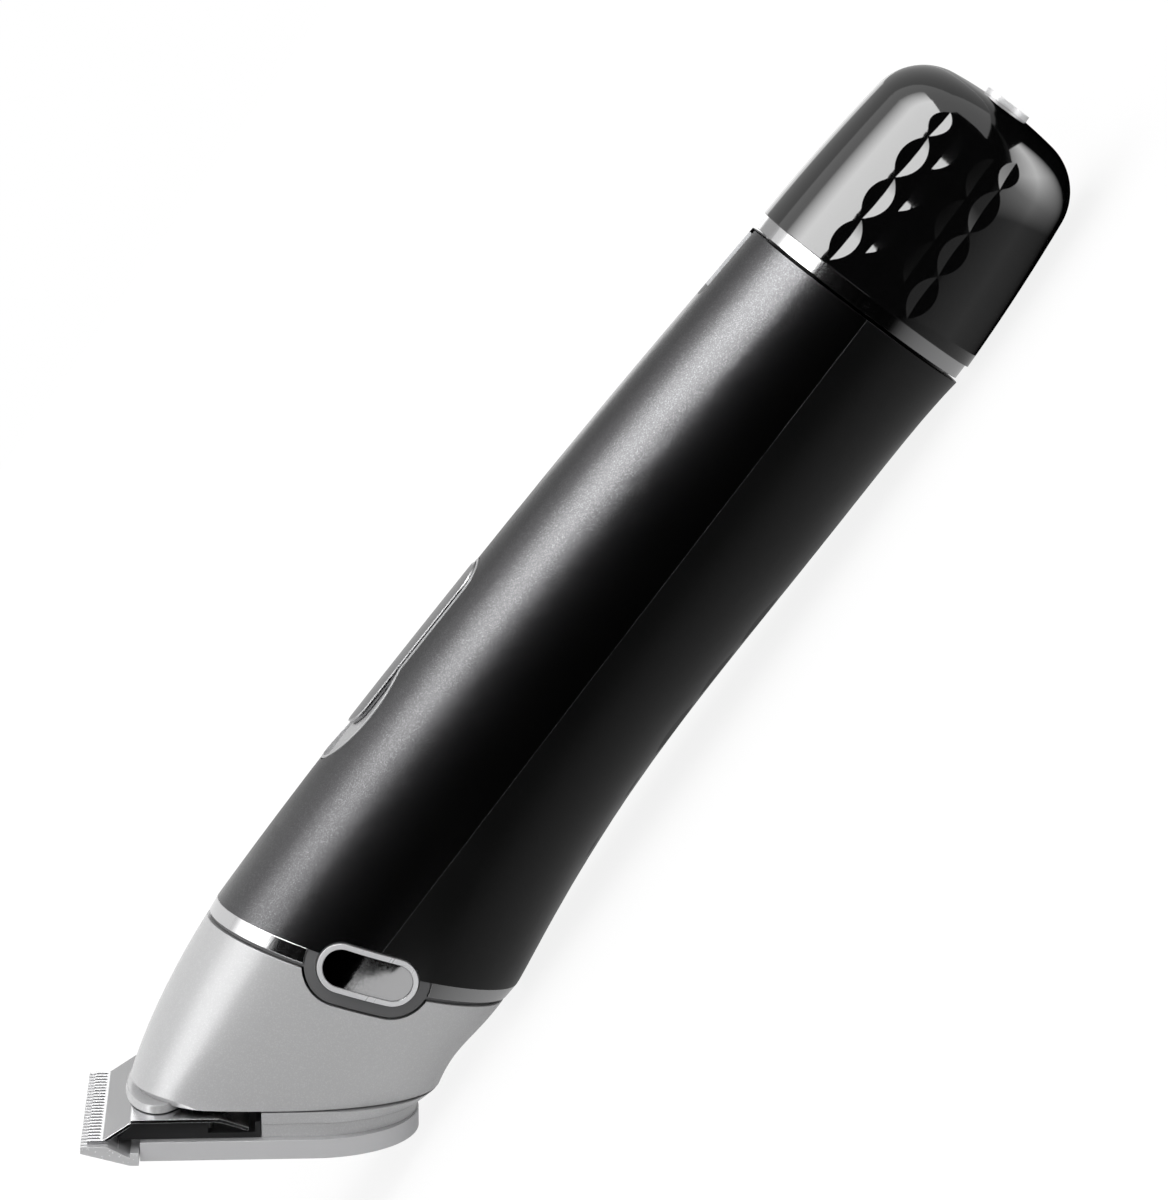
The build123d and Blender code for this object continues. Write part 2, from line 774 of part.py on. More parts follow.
# Slider: a bar at the cap end of the bezel, on a stem that reaches the carriage inside
knob_shift = bezel_length / 2 - bezel_rim - open_fit - knob_length / 2
stem_shift = slider_travel / 2
carriage_top = -(bezel_depth + carriage_drop)
with BuildPart() as power_slider:
    add(switch_prism(knob_length, knob_width, -3 * shell_wall, 2 * shell_wall, knob_shift))
    add(body_form(-knob_proud), mode=Mode.INTERSECT)
    add(body_form(bezel_floor_depth - part_fit), mode=Mode.SUBTRACT)
    add(switch_prism(stem_length, stem_width, carriage_top, 0, stem_shift))
save(power_slider, "power_slider")

nub_shift = carriage_reach + stem_shift + stem_length / 2
board_top = board_z + board_thickness
with BuildPart() as slider_carriage:
    with BuildSketch(SWITCH.offset(carriage_top)):
        with Locations((stem_shift - stem_length / 2 - stem_width, 0)):
            Rectangle(
                nub_shift + 2 * nub_size - stem_shift + stem_length / 2 + stem_width,
                carriage_width,
                align=(Align.MIN, Align.CENTER),
            )
    extrude(amount=-carriage_thickness)
    carriage_low = SWITCH.from_local_coords((nub_shift, 0, carriage_top - carriage_thickness))
    fork_low = board_top + switch_body_height + open_fit
    with BuildSketch(Plane.XY.offset(fork_low)):
        with Locations((carriage_low.X, 0)):
            Rectangle(3 * nub_size, carriage_width)
            Rectangle(nub_size + 2 * slide_fit, nub_size + 2 * slide_fit, mode=Mode.SUBTRACT)
    extrude(amount=carriage_low.Z + carriage_thickness / 2 - fork_low)
save(slider_carriage, "slider_carriage")

# Light guide in the front slot, with a stem to the charge light below it
guide_start = neck_x + light_slot_end + part_fit
guide_end = rim_x - part_fit
led_x = guide_start + light_stem / 2 + open_fit
with BuildPart() as light_guide:
    with BuildSketch(Plane.XY.offset(rim_z + rim_radius / 2)):
        with Locations((guide_start, 0)):
            guide_width = light_slot_width - 2 * part_fit
            Rectangle(guide_end - guide_start, guide_width, align=(Align.MIN, Align.CENTER))
    extrude(amount=rim_radius)
    fillet(light_guide.edges().filter_by(Axis.Z).sort_by(Axis.X)[0:2], light_slot_width / 3)
    add(body_form(0), mode=Mode.INTERSECT)
    add(body_form(shell_wall), mode=Mode.SUBTRACT)
    stem_low = board_top + led_height + open_fit
    with BuildSketch(Plane.XY.offset(stem_low)):
        with Locations((led_x, 0)):
            Rectangle(light_stem, light_stem)
    extrude(amount=body_height(light_slot_end) - shell_wall / 2 - stem_low)
save(light_guide, "light_guide")

with BuildPart() as charge_led:
    with Locations((led_x, 0, board_top)):
        Cylinder(led_radius, led_height, align=(Align.CENTER, Align.CENTER, Align.MIN))
    fillet(charge_led.edges().sort_by(Axis.Z)[-1], led_radius - part_fit)
save(charge_led, "charge_led")

# Motor: a can with two flats, an end bell, a shaft and the eccentric
motor_x = neck_x + motor_front
MOTOR = Plane(origin=(motor_x, 0, neck_z), x_dir=(0, 1, 0), z_dir=(1, 0, 0))


def motor_face(radius, flat_half):
    """Round section of the motor with a flat on its front and back."""
    with BuildSketch() as face:
        Circle(radius)
        Rectangle(2 * radius, 2 * flat_half, mode=Mode.INTERSECT)
    return face.sketch


with BuildPart() as motor_can:
    with BuildSketch(MOTOR):
        add(motor_face(motor_radius, motor_flat_half))
    extrude(amount=motor_length - motor_bell_length)
    with BuildSketch(MOTOR):
        Circle(motor_boss_radius)
    extrude(amount=-motor_boss_length)
    with BuildSketch(MOTOR.offset(-motor_boss_length)):
        Circle(shaft_radius + slide_fit)
    extrude(amount=motor_length - motor_bell_length + motor_boss_length, mode=Mode.SUBTRACT)
    with BuildSketch(MOTOR):
        with Locations((motor_screw_place, 0), (-motor_screw_place, 0)):
            Circle(screw_radius)
    extrude(amount=2 * mount_thickness, mode=Mode.SUBTRACT)
save(motor_can, "motor_can")

with BuildPart() as motor_bell:
    with BuildSketch(MOTOR.offset(motor_length - motor_bell_length)):
        add(motor_face(motor_radius - slide_fit, motor_flat_half - slide_fit))
    extrude(amount=motor_bell_length)
    with BuildSketch(MOTOR.offset(motor_length)):
        with Locations((motor_screw_place, 0), (-motor_screw_place, 0)):
            Rectangle(tab_thickness, 2 * nub_size)
    extrude(amount=nub_size)
save(motor_bell, "motor_bell")

with BuildPart() as motor_mount:
    with BuildSketch(MOTOR):
        Circle(mount_radius)
        Rectangle(2 * mount_radius, 2 * motor_radius, mode=Mode.INTERSECT)
        Circle(motor_boss_radius + slide_fit, mode=Mode.SUBTRACT)
        with Locations((motor_screw_place, 0), (-motor_screw_place, 0)):
            Circle(screw_radius + slide_fit, mode=Mode.SUBTRACT)
    extrude(amount=-mount_thickness)
save(motor_mount, "motor_mount")

with BuildPart() as motor_screws:
    for side in (-1, 1):
        place = Plane(
            origin=(motor_x - mount_thickness - screw_head_height, side * motor_screw_place, neck_z),
            z_dir=(-1, 0, 0),
        )
        add(place * screw(2 * mount_thickness))
save(motor_screws, "motor_screws")

with BuildPart() as motor_shaft:
    with BuildSketch(MOTOR.offset(motor_length - motor_bell_length - slide_fit)):
        Circle(shaft_radius)
    extrude(amount=-(motor_length - motor_bell_length - slide_fit + shaft_reach))
save(motor_shaft, "motor_shaft")

cam_plane = MOTOR.offset(-shaft_reach)
with BuildPart() as eccentric_cam:
    with BuildSketch(cam_plane):
        Circle(cam_sleeve_radius)
    extrude(amount=cam_sleeve_length)
    with BuildSketch(cam_plane):
        with Locations((0, cam_offset)):
            Circle(cam_radius)
    extrude(amount=-cam_length)
    with BuildSketch(cam_plane):
        Circle(shaft_radius)
    extrude(amount=cam_sleeve_length, mode=Mode.SUBTRACT)
save(eccentric_cam, "eccentric_cam")

# Tray inside the handle: motor cradle, battery saddles and board posts in one moulding
tray_top = tray_z + tray_thickness
board_x = neck_x + board_start
post_xs = [board_x + board_screw_inset, board_x + board_length - board_screw_inset]
post_ys = [side * (board_width / 2 - board_screw_inset) for side in (-1, 1)]
BATTERY = Plane(origin=(neck_x + battery_start, 0, battery_z), x_dir=(0, 1, 0), z_dir=(1, 0, 0))
with BuildPart() as chassis:
    with BuildSketch(Plane.XY.offset(tray_z)):
        with Locations((neck_x + tray_start, 0)):
            Rectangle(tray_end - tray_start, 2 * neck_half_width, align=(Align.MIN, Align.CENTER))
    extrude(amount=tray_thickness)
    with BuildSketch(MOTOR.offset(slide_fit)):
        Rectangle(2 * (motor_radius + cradle_wall), 2 * (motor_radius + cradle_wall))
        with Locations((0, motor_radius + cradle_wall)):
            Rectangle(4 * motor_radius, 2 * (motor_radius + cradle_wall), mode=Mode.SUBTRACT)
    extrude(amount=motor_length)
    for place in (rib_thickness, motor_length - 2 * rib_thickness):
        with BuildSketch(MOTOR.offset(place)):
            with Locations((0, -motor_radius)):
                Rectangle(4 * motor_radius, 2 * motor_radius)
        extrude(amount=rib_thickness)
    with BuildSketch(MOTOR):
        Circle(motor_radius + slide_fit)
        Rectangle(3 * motor_radius, 2 * (motor_flat_half + slide_fit), mode=Mode.INTERSECT)
    extrude(amount=motor_length + slide_fit, mode=Mode.SUBTRACT)
    with BuildSketch(MOTOR.offset(motor_length)):
        Rectangle(4 * motor_radius, 2 * (tray_top - neck_z))
    extrude(amount=tray_start - motor_front - motor_length)
    with BuildSketch(MOTOR.offset(motor_length)):
        Rectangle(2 * motor_screw_place + 2 * nub_size, 2 * motor_flat_half)
    extrude(amount=2 * nub_size, mode=Mode.SUBTRACT)
    for place in (battery_length / 3, battery_length * 2 / 3):
        with BuildSketch(BATTERY.offset(place)):
            with Locations((0, (tray_z - battery_z) / 2)):
                Rectangle(2 * (battery_radius + 2 * rib_thickness), tray_z - battery_z)
            Circle(battery_radius + slide_fit, mode=Mode.SUBTRACT)
        extrude(amount=rib_thickness)
    with BuildSketch(Plane.XY.offset(tray_top)):
        with Locations(*[(x, y) for x in post_xs for y in post_ys]):
            Circle(boss_radius)
    extrude(amount=board_z - tray_top)
    add(body_form(shell_wall + part_fit), mode=Mode.INTERSECT)
    with BuildSketch(Plane.XY.offset(board_z)):
        with Locations(*[(x, y) for x in post_xs for y in post_ys]):
            Circle(screw_radius)
    extrude(amount=-(board_z - tray_z), mode=Mode.SUBTRACT)
    with BuildSketch(Plane.XY.offset(tray_top)):
        with Locations(*boss_spots):
            Circle(screw_radius + slide_fit)
    extrude(amount=-tray_thickness, mode=Mode.SUBTRACT)
save(chassis, "chassis")

with BuildPart() as chassis_screws:
    for x, y in boss_spots:
        add(Plane(origin=(x, y, tray_top + screw_head_height)) * screw(tray_thickness + 3 * boss_radius))
save(chassis_screws, "chassis_screws")

# Battery with its welded end tabs
with BuildPart() as battery_cell:
    with BuildSketch(BATTERY):
        Circle(battery_radius)
    extrude(amount=battery_length)
    fillet(battery_cell.edges().filter_by(GeomType.CIRCLE), tab_thickness)
save(battery_cell, "battery_cell")

with BuildPart() as battery_tabs:
    for start, way in ((0, -1), (battery_length, 1)):
        with BuildSketch(BATTERY.offset(start)):
            with Locations((0, -battery_radius / 2)):
                tab_height = tray_z - battery_z + battery_radius / 2
                Rectangle(tab_width, tab_height, align=(Align.CENTER, Align.MIN))
        extrude(amount=way * tab_thickness)
save(battery_tabs, "battery_tabs")

# Board with the slide switch
with BuildPart() as main_board:
    with BuildSketch(Plane.XY.offset(board_z)):
        with Locations((board_x + board_length / 2, 0)):
            RectangleRounded(board_length, board_width, nub_size)
        with Locations(*[(x, y) for x in post_xs for y in post_ys]):
            Circle(screw_radius + slide_fit, mode=Mode.SUBTRACT)
    extrude(amount=board_thickness)
save(main_board, "main_board")

with BuildPart() as board_screws:
    for x in post_xs:
        for y in post_ys:
            add(Plane(origin=(x, y, board_top + screw_head_height)) * screw(board_thickness + tray_thickness))
save(board_screws, "board_screws")

switch_body_x = carriage_low.X - slider_travel / 2
with BuildPart() as slide_switch:
    with BuildSketch(Plane.XY.offset(board_top)):
        with Locations((switch_body_x, 0)):
            Rectangle(switch_body_length, switch_body_width)
    extrude(amount=switch_body_height)
    with BuildSketch(Plane.XY.offset(board_top + switch_body_height)):
        with Locations((switch_body_x, 0)):
            Rectangle(slider_travel + nub_size + 2 * open_fit, nub_size + 2 * open_fit)
    extrude(amount=-nub_size, mode=Mode.SUBTRACT)
save(slide_switch, "slide_switch")

with BuildPart() as switch_nub:
    nub_low = board_top + switch_body_height - nub_size + open_fit
    with BuildSketch(Plane.XY.offset(nub_low)):
        with Locations((carriage_low.X, 0)):
            Rectangle(nub_size, nub_size)
    extrude(amount=carriage_low.Z - part_fit - nub_low)
save(switch_nub, "switch_nub")

# Head housing: a hollow shell, open at both ends, with a bevel along the rim's front and a foot under it
with BuildPart() as head_housing:
    add(housing_form(0, joint_gap))
    add(front_bevel(), mode=Mode.SUBTRACT)
    with BuildPart(mode=Mode.PRIVATE) as rib:
        extrude(foot_outline(rim_h), amount=foot_rib_height)
        add(head_housing.part, mode=Mode.INTERSECT)
    add(housing_form(housing_wall, joint_gap), mode=Mode.SUBTRACT)
    add(rib.part)
    extrude(foot_outline(flange_h + cutter_sheet / 2 + part_fit), amount=foot_height, taper=foot_taper)
    for side in (-1, 1):
        add(pill(side, boss_margin + open_fit, spigot_radius, 2 * neck_half_width), mode=Mode.SUBTRACT)
save(head_housing, "head_housing")

# Head bracket: a web across the housing's neck end, with the round spigot that plugs into the collar
with BuildPart() as head_bracket:
    add(housing_form(housing_wall + slide_fit, joint_gap))
    add(neck_band(joint_gap, joint_gap + bracket_thickness, -boss_margin), mode=Mode.INTERSECT)
    for side in (-1, 1):
        add(pill(side, boss_margin + open_fit, spigot_radius, 2 * neck_half_width), mode=Mode.SUBTRACT)
    spigot_plane = Plane(origin=(neck_x + spigot_reach, 0, neck_z), x_dir=(0, 1, 0), z_dir=(-1, 0, 0))
    with BuildSketch(spigot_plane):
        Circle(spigot_radius)
    extrude(amount=spigot_reach + spigot_inside)
    with BuildSketch(spigot_plane):
        Circle(spigot_radius - spigot_wall)
    extrude(amount=spigot_reach + 2 * spigot_inside, mode=Mode.SUBTRACT)
save(head_bracket, "head_bracket")


def heel_outline(level, rear_u, half_width, front_u):
    """Outline in the head's frame at one level: round at the rear, cut straight at the front."""
    round_u = rear_u + sole_rear_round
    with BuildSketch(HEAD.offset(level)) as outline:
        with BuildLine():
            Line((front_u, -half_width), (round_u, -half_width))
            EllipticalCenterArc((round_u, 0), sole_rear_round, half_width, start_angle=90, arc_size=180)
            Line((round_u, half_width), (front_u, half_width))
            Line((front_u, half_width), (front_u, -half_width))
        make_face()
    return outline.sketch


# Head base: two bands under the housing's rear, a plug up inside it and the bosses of lever and springs
base_half_width = rim_half_width - slide_fit
plug_inset = housing_wall + part_fit
sole_screw_spots = [(sole_screw_u, sole_screw_y), (sole_screw_u, -sole_screw_y)]
spring_spots = [(base_front_u, spring_arm_y), (base_front_u, -spring_arm_y)]
with BuildPart() as head_base:
    sunk_half = base_half_width - base_sunk_inset
    step_half = base_half_width - base_step_inset
    sunk = heel_outline(sole_thickness, base_sunk_rear, sunk_half, base_front_u)
    extrude(sunk, amount=base_step_h - sole_thickness)
    loft(
        sections=[
            heel_outline(base_step_h, base_step_rear, step_half, base_front_u),
            heel_outline(base_top_h, base_top_rear, base_half_width, base_front_u),
        ]
    )
    with BuildPart(mode=Mode.PRIVATE) as plug:
        add(housing_form(plug_inset, joint_gap, base_top_h))
        add(housing_form(plug_inset + base_plug_wall, joint_gap, base_top_h), mode=Mode.SUBTRACT)
        with BuildSketch(HEAD.offset(base_top_h)):
            with Locations((base_front_u, 0)):
                Rectangle(2 * sole_length, 4 * sole_half_width, align=(Align.MAX, Align.CENTER))
        extrude(amount=base_plug_height, mode=Mode.INTERSECT)
    add(plug.part)
    with BuildSketch(HEAD.offset(base_top_h)):
        with Locations((pivot_u, 0)):
            Circle(base_front_u - pivot_u)
    extrude(amount=lever_h - slide_fit - base_top_h)
    with BuildSketch(HEAD.offset(sole_thickness)):
        with Locations((pivot_u, 0)):
            Circle(pivot_radius)
        with Locations(*sole_screw_spots):
            Circle(screw_radius)
    extrude(amount=base_top_h, mode=Mode.SUBTRACT)
    with BuildSketch(HEAD.offset(base_top_h)):
        with Locations(*spring_spots):
            Rectangle(spring_seat, spring_wire, align=(Align.MAX, Align.CENTER))
    extrude(amount=-(base_top_h - spring_h + spring_wire / 2), mode=Mode.SUBTRACT)
save(head_base, "head_base")

# Sole plate with its rounded heel
with BuildPart() as sole_plate:
    extrude(heel_outline(0, 0, sole_half_width, sole_length), amount=sole_thickness)
    with BuildSketch(HEAD):
        with Locations(*sole_screw_spots):
            Circle(screw_radius + slide_fit)
    extrude(amount=sole_thickness, mode=Mode.SUBTRACT)
    with BuildSketch(HEAD):
        with Locations(*sole_screw_spots):
            Circle(screw_head_radius + slide_fit)
    extrude(amount=screw_head_height, mode=Mode.SUBTRACT)
save(sole_plate, "sole_plate")

with BuildPart() as sole_screws:
    for u, y in sole_screw_spots:
        spot = Plane(origin=HEAD.from_local_coords((u, y, 0)), x_dir=HEAD.x_dir, z_dir=-HEAD.z_dir)
        add(spot * screw(base_top_h - screw_head_height))
save(sole_screws, "sole_screws")

# Fixed blade: a comb across the sole's front edge, with a land for the cutter, a rear lip and a tongue
SIDE = Plane(origin=HEAD.origin, x_dir=HEAD.x_dir, z_dir=-HEAD.y_dir)
blade_rear = sole_length + slide_fit
lip_front = blade_rear + blade_lip_width
with BuildPart() as fixed_blade:
    with BuildSketch(SIDE):
        with BuildLine():
            Polyline(
                (blade_rear, 0),
                (lip_front, 0),
                (blade_tip_u, blade_tip_low_h),
                (blade_tip_u, blade_plane_h),
                (blade_tip_u - blade_land, blade_plane_h),
                (lip_front, blade_floor),
                (lip_front, blade_lip_height),
                (blade_rear, blade_lip_height),
                close=True,
            )
        make_face()
    extrude(amount=blade_width / 2, both=True)
    with BuildSketch(HEAD.offset(sole_thickness)):
        with Locations((lip_front, 0)):
            Rectangle(tongue_length + blade_lip_width, tongue_width, align=(Align.MAX, Align.CENTER))
    extrude(amount=tongue_thickness)
    with BuildSketch(HEAD.offset(blade_lip_height)):
        with Locations((lip_front, 0)):
            Rectangle(blade_lip_width, tongue_width, align=(Align.MAX, Align.CENTER))
    extrude(amount=sole_thickness - blade_lip_height)
    with BuildSketch(HEAD):
        with Locations((blade_tip_u - tooth_depth, 0)):
            with GridLocations(0, tooth_pitch, 1, tooth_count):
                Rectangle(2 * tooth_depth, tooth_gap, align=(Align.MIN, Align.CENTER))
    extrude(amount=2 * blade_plane_h, mode=Mode.SUBTRACT)
save(fixed_blade, "fixed_blade")

# Cutter: one bent sheet with fine teeth, a rise to a flange and a tail bent down behind it
cutter_tip_u = blade_tip_u - cutter_tip_back
bend_u = cutter_tip_u - cutter_plate_length
flange_front_u = bend_u - cutter_rise_run
with BuildPart() as cutter:
    with BuildSketch(SIDE):
        with BuildLine():
            FilletPolyline(
                (cutter_tip_u, cutter_h),
                (bend_u, cutter_h),
                (flange_front_u, flange_h),
                (cutter_flange_u, flange_h),
                (cutter_tail_u, flange_h - cutter_tail_drop),
                radius=cutter_bend_radius,
            )
        trace(line_width=cutter_sheet)
    extrude(amount=cutter_width / 2, both=True)
    with BuildSketch(HEAD.offset(cutter_h - cutter_sheet)):
        with Locations((cutter_tip_u - cutter_tooth_length, 0)):
            with GridLocations(0, tooth_pitch, 1, tooth_count - 2):
                Rectangle(2 * tooth_depth, tooth_gap, align=(Align.MIN, Align.CENTER))
    extrude(amount=2 * cutter_sheet, mode=Mode.SUBTRACT)
    with BuildSketch(HEAD.offset(flange_h - 2 * cutter_rise)):
        for side in (-1, 1):
            with Locations((flange_front_u, side * cutter_width / 2)):
                trim = cutter_width - cutter_flange_width
                Rectangle(2 * sole_length, trim, align=(Align.MAX, Align.CENTER))
        with Locations((lever_tip_u, 0)):
            SlotOverall(2 * drive_pin_radius + drive_slot_play, 2 * (drive_pin_radius + slide_fit))
    extrude(amount=4 * cutter_rise, mode=Mode.SUBTRACT)
save(cutter, "cutter")

# Dark guide block that fills the open side under the cutter's flange, over the comb's tongue
guide_top = flange_h - cutter_sheet / 2 - open_fit
tongue_top = sole_thickness + tongue_thickness + slide_fit
with BuildPart() as cutter_guide:
    with BuildSketch(SIDE):
        with BuildLine():
            guide_rear = base_front_u + slide_fit
            channel_front = cutter_flange_u + guide_channel_front
            channel_rear = cutter_tail_u - guide_channel_rear
            Polyline(
                (guide_rear, sole_thickness),
                (guide_nose_u, sole_thickness),
                (guide_nose_u, guide_nose_h),
                (flange_front_u - open_fit, guide_top),
                (channel_front, guide_top),
                (channel_front, tongue_top),
                (channel_rear, tongue_top),
                (channel_rear, guide_top),
                (guide_rear, guide_top),
                close=True,
            )
        make_face()
    extrude(amount=guide_half_width, both=True)
    with BuildSketch(HEAD.offset(sole_thickness)):
        with Locations((lip_front + slide_fit, 0)):
            room = tongue_length + blade_lip_width + 3 * slide_fit
            Rectangle(room, tongue_width + 2 * slide_fit, align=(Align.MAX, Align.CENTER))
    extrude(amount=tongue_top - sole_thickness, mode=Mode.SUBTRACT)
save(cutter_guide, "cutter_guide")

# Flat wire springs that hold the cutter's flange down
with BuildPart() as blade_spring:
    for side in (-1, 1):
        spot = HEAD.from_local_coords((base_front_u - spring_seat, side * spring_arm_y, spring_h))
        with BuildSketch(Plane(origin=spot, z_dir=HEAD.x_dir)):
            Circle(spring_wire / 2)
        extrude(amount=spring_reach_u - base_front_u + spring_seat)
save(blade_spring, "blade_spring")

# Drive lever: a plate on the pivot, a pin in the cutter and a fork that straddles the eccentric
cam_middle = HEAD.to_local_coords(Vector(cam_plane.origin.X - cam_length / 2, 0, neck_z))
fork_u, fork_h = cam_middle.X, cam_middle.Z
fork_half_gap = cam_radius + 2 * cam_offset + swing_room
lever_top = lever_h + lever_thickness
with BuildPart() as drive_lever:
    with BuildSketch(HEAD.offset(lever_h)):
        with Locations((pivot_u, 0)):
            Circle(lever_hub_radius)
        with Locations((lever_tip_u, 0)):
            Circle(lever_tip_radius)
        make_hull()
        with Locations((fork_u, 0)):
            Rectangle(fork_depth, 2 * (fork_half_gap + fork_prong))
        with Locations((fork_u, 0)):
            Rectangle(pivot_u - fork_u, 2 * lever_tip_radius, align=(Align.MIN, Align.CENTER))
    extrude(amount=lever_thickness)
    with BuildSketch(HEAD.offset(lever_top)):
        for side in (-1, 1):
            with Locations((fork_u, side * (fork_half_gap + fork_prong / 2))):
                Rectangle(fork_depth, fork_prong)
    extrude(amount=fork_h + fork_top_past - lever_top)
    with BuildSketch(HEAD.offset(lever_h)):
        with Locations((lever_tip_u, 0)):
            Circle(drive_pin_radius)
    extrude(amount=-(lever_h - flange_h + cutter_sheet))
    with BuildSketch(HEAD.offset(lever_h)):
        with Locations((pivot_u, 0)):
            Circle(pivot_radius + slide_fit)
    extrude(amount=lever_thickness, mode=Mode.SUBTRACT)
save(drive_lever, "drive_lever")

with BuildPart() as lever_pivot:
    with BuildSketch(HEAD.offset(sole_thickness)):
        with Locations((pivot_u, 0)):
            Circle(pivot_radius)
    extrude(amount=lever_top + open_fit - sole_thickness)
    with BuildSketch(HEAD.offset(lever_top + open_fit)):
        with Locations((pivot_u, 0)):
            Circle(lever_hub_radius - open_fit)
    extrude(amount=screw_head_height)
save(lever_pivot, "lever_pivot")

lever_swing = asin(cam_offset / (pivot_u - fork_u))
cutter_stroke = (lever_tip_u - pivot_u) * lever_swing
print(f"lever swings {degrees(lever_swing):.3f} degrees and the cutter {cutter_stroke:.4f} mm each way")
pivot_spot = HEAD.from_local_coords((pivot_u, 0, lever_h))
jack_mouth = RIM.from_local_coords((0, 0, cap_end + jack_rim_proud))
print(f"lever pivot {tuple(pivot_spot)}, fork arm {pivot_u - fork_u:.4f} mm")
print(f"neck at x {neck_x:.4f} z {neck_z:.4f}, jack mouth {tuple(jack_mouth)}")
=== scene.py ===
"""Looks of a cordless hair clipper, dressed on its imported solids."""

import logging
import math
from dataclasses import dataclass
from enum import Enum
from typing import Any, ClassVar

import bmesh
import bpy
from mathutils import Matrix, Vector


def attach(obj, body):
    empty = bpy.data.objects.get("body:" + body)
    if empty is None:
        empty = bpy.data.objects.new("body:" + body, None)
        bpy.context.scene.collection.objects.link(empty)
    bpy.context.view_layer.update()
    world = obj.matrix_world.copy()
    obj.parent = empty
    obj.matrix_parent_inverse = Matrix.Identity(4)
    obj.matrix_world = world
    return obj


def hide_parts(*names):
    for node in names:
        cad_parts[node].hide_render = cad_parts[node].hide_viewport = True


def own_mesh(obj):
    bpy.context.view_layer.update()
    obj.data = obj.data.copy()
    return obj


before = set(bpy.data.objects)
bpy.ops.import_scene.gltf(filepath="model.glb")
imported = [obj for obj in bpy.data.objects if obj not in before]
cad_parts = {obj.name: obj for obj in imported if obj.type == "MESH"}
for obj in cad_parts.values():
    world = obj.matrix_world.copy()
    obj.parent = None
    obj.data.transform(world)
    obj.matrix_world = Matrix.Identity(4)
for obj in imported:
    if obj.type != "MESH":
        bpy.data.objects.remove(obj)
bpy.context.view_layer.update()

LOG = logging.getLogger("clipper")
SHARP_ANGLE = math.radians(30.0)
WHITE = (1.0, 1.0, 1.0, 1.0)
NEAR_BLACK = (0.002, 0.002, 0.002, 1.0)
Colour = tuple[float, float, float]
Pair = tuple[float, float]
Triple = tuple[float, float, float]
Ring = list[bmesh.types.BMVert]


class Axis(Enum):
    """Direction in which a metal was brushed or ground, by how fast it changes along X, Y and Z."""

    LENGTH = (0.02, 1.0, 1.0)
    WIDTH = (1.0, 0.02, 1.0)
    ROUND = (0.05, 1.0, 1.0)


class Graph:
    """Short-hand for filling one node tree."""

    def __init__(self, tree: bpy.types.NodeTree) -> None:
        """Hold the tree to be filled.

        Args:
            tree: A material's or a group's node tree.
        """
        self.tree = tree

    def add(self, kind: str, inputs: dict[str, Any] | None = None, **settings: Any) -> bpy.types.Node:
        """Add one node.

        Args:
            kind: Blender's type name of the node.
            inputs: Values or sockets for its inputs, by the socket's name.
            settings: Values for the node's own settings.

        Returns:
            The new node.
        """
        node = self.tree.nodes.new(kind)
        for key, value in settings.items():
            setattr(node, key, value)
        for key, value in (inputs or {}).items():
            self.feed(node.inputs[key], value)
        return node

    def feed(self, socket: bpy.types.NodeSocket, value: Any) -> None:
        """Set an input to a value, or link it to an output.

        Args:
            socket: The input.
            value: A number, a colour or an output socket.
        """
        if isinstance(value, bpy.types.NodeSocket):
            self.tree.links.new(value, socket)
        else:
            socket.default_value = value

    def math(self, operation: str, first: Any, second: Any = 0.0) -> bpy.types.NodeSocket:
        """Add a Math node.

        Args:
            operation: Name of the operation.
            first: Value or socket.
            second: Value or socket.

        Returns:
            The result's socket.
        """
        node = self.add("ShaderNodeMath", operation=operation)
        self.feed(node.inputs[0], first)
        self.feed(node.inputs[1], second)
        return node.outputs[0]

    def spread(self, value: Any, low: float, high: float, start: float = 0.0, end: float = 1.0) -> Any:
        """Map a value from one range onto another.

        Args:
            value: Socket that runs from start to end.
            low: Result at the start.
            high: Result at the end.
            start: Lower end of the value's range.
            end: Upper end of the value's range.

        Returns:
            The result's socket.
        """
        node = self.add("ShaderNodeMapRange", {"Value": value, "From Min": start, "From Max": end})
        node.inputs["To Min"].default_value = low
        node.inputs["To Max"].default_value = high
        return node.outputs["Result"]

    def blend(self, share: Any, first: Any, second: Any) -> bpy.types.NodeSocket:
        """Mix two colours.

        Args:
            share: How much of the second colour there is.
            first: Colour or socket.
            second: Colour or socket.

        Returns:
            The mixed colour's socket.
        """
        node = self.add("ShaderNodeMix", data_type="RGBA")
        self.feed(node.inputs[0], share)
        self.feed(node.inputs[6], first)
        self.feed(node.inputs[7], second)
        return node.outputs[2]

    def place(self) -> bpy.types.NodeSocket:
        """Return the socket of a point's place on the object."""
        return self.add("ShaderNodeTexCoord").outputs["Object"]

    def place_parts(self) -> bpy.types.NodeOutputs:
        """Return the sockets of that place's X, Y and Z."""
        return self.add("ShaderNodeSeparateXYZ", {"Vector": self.place()}).outputs


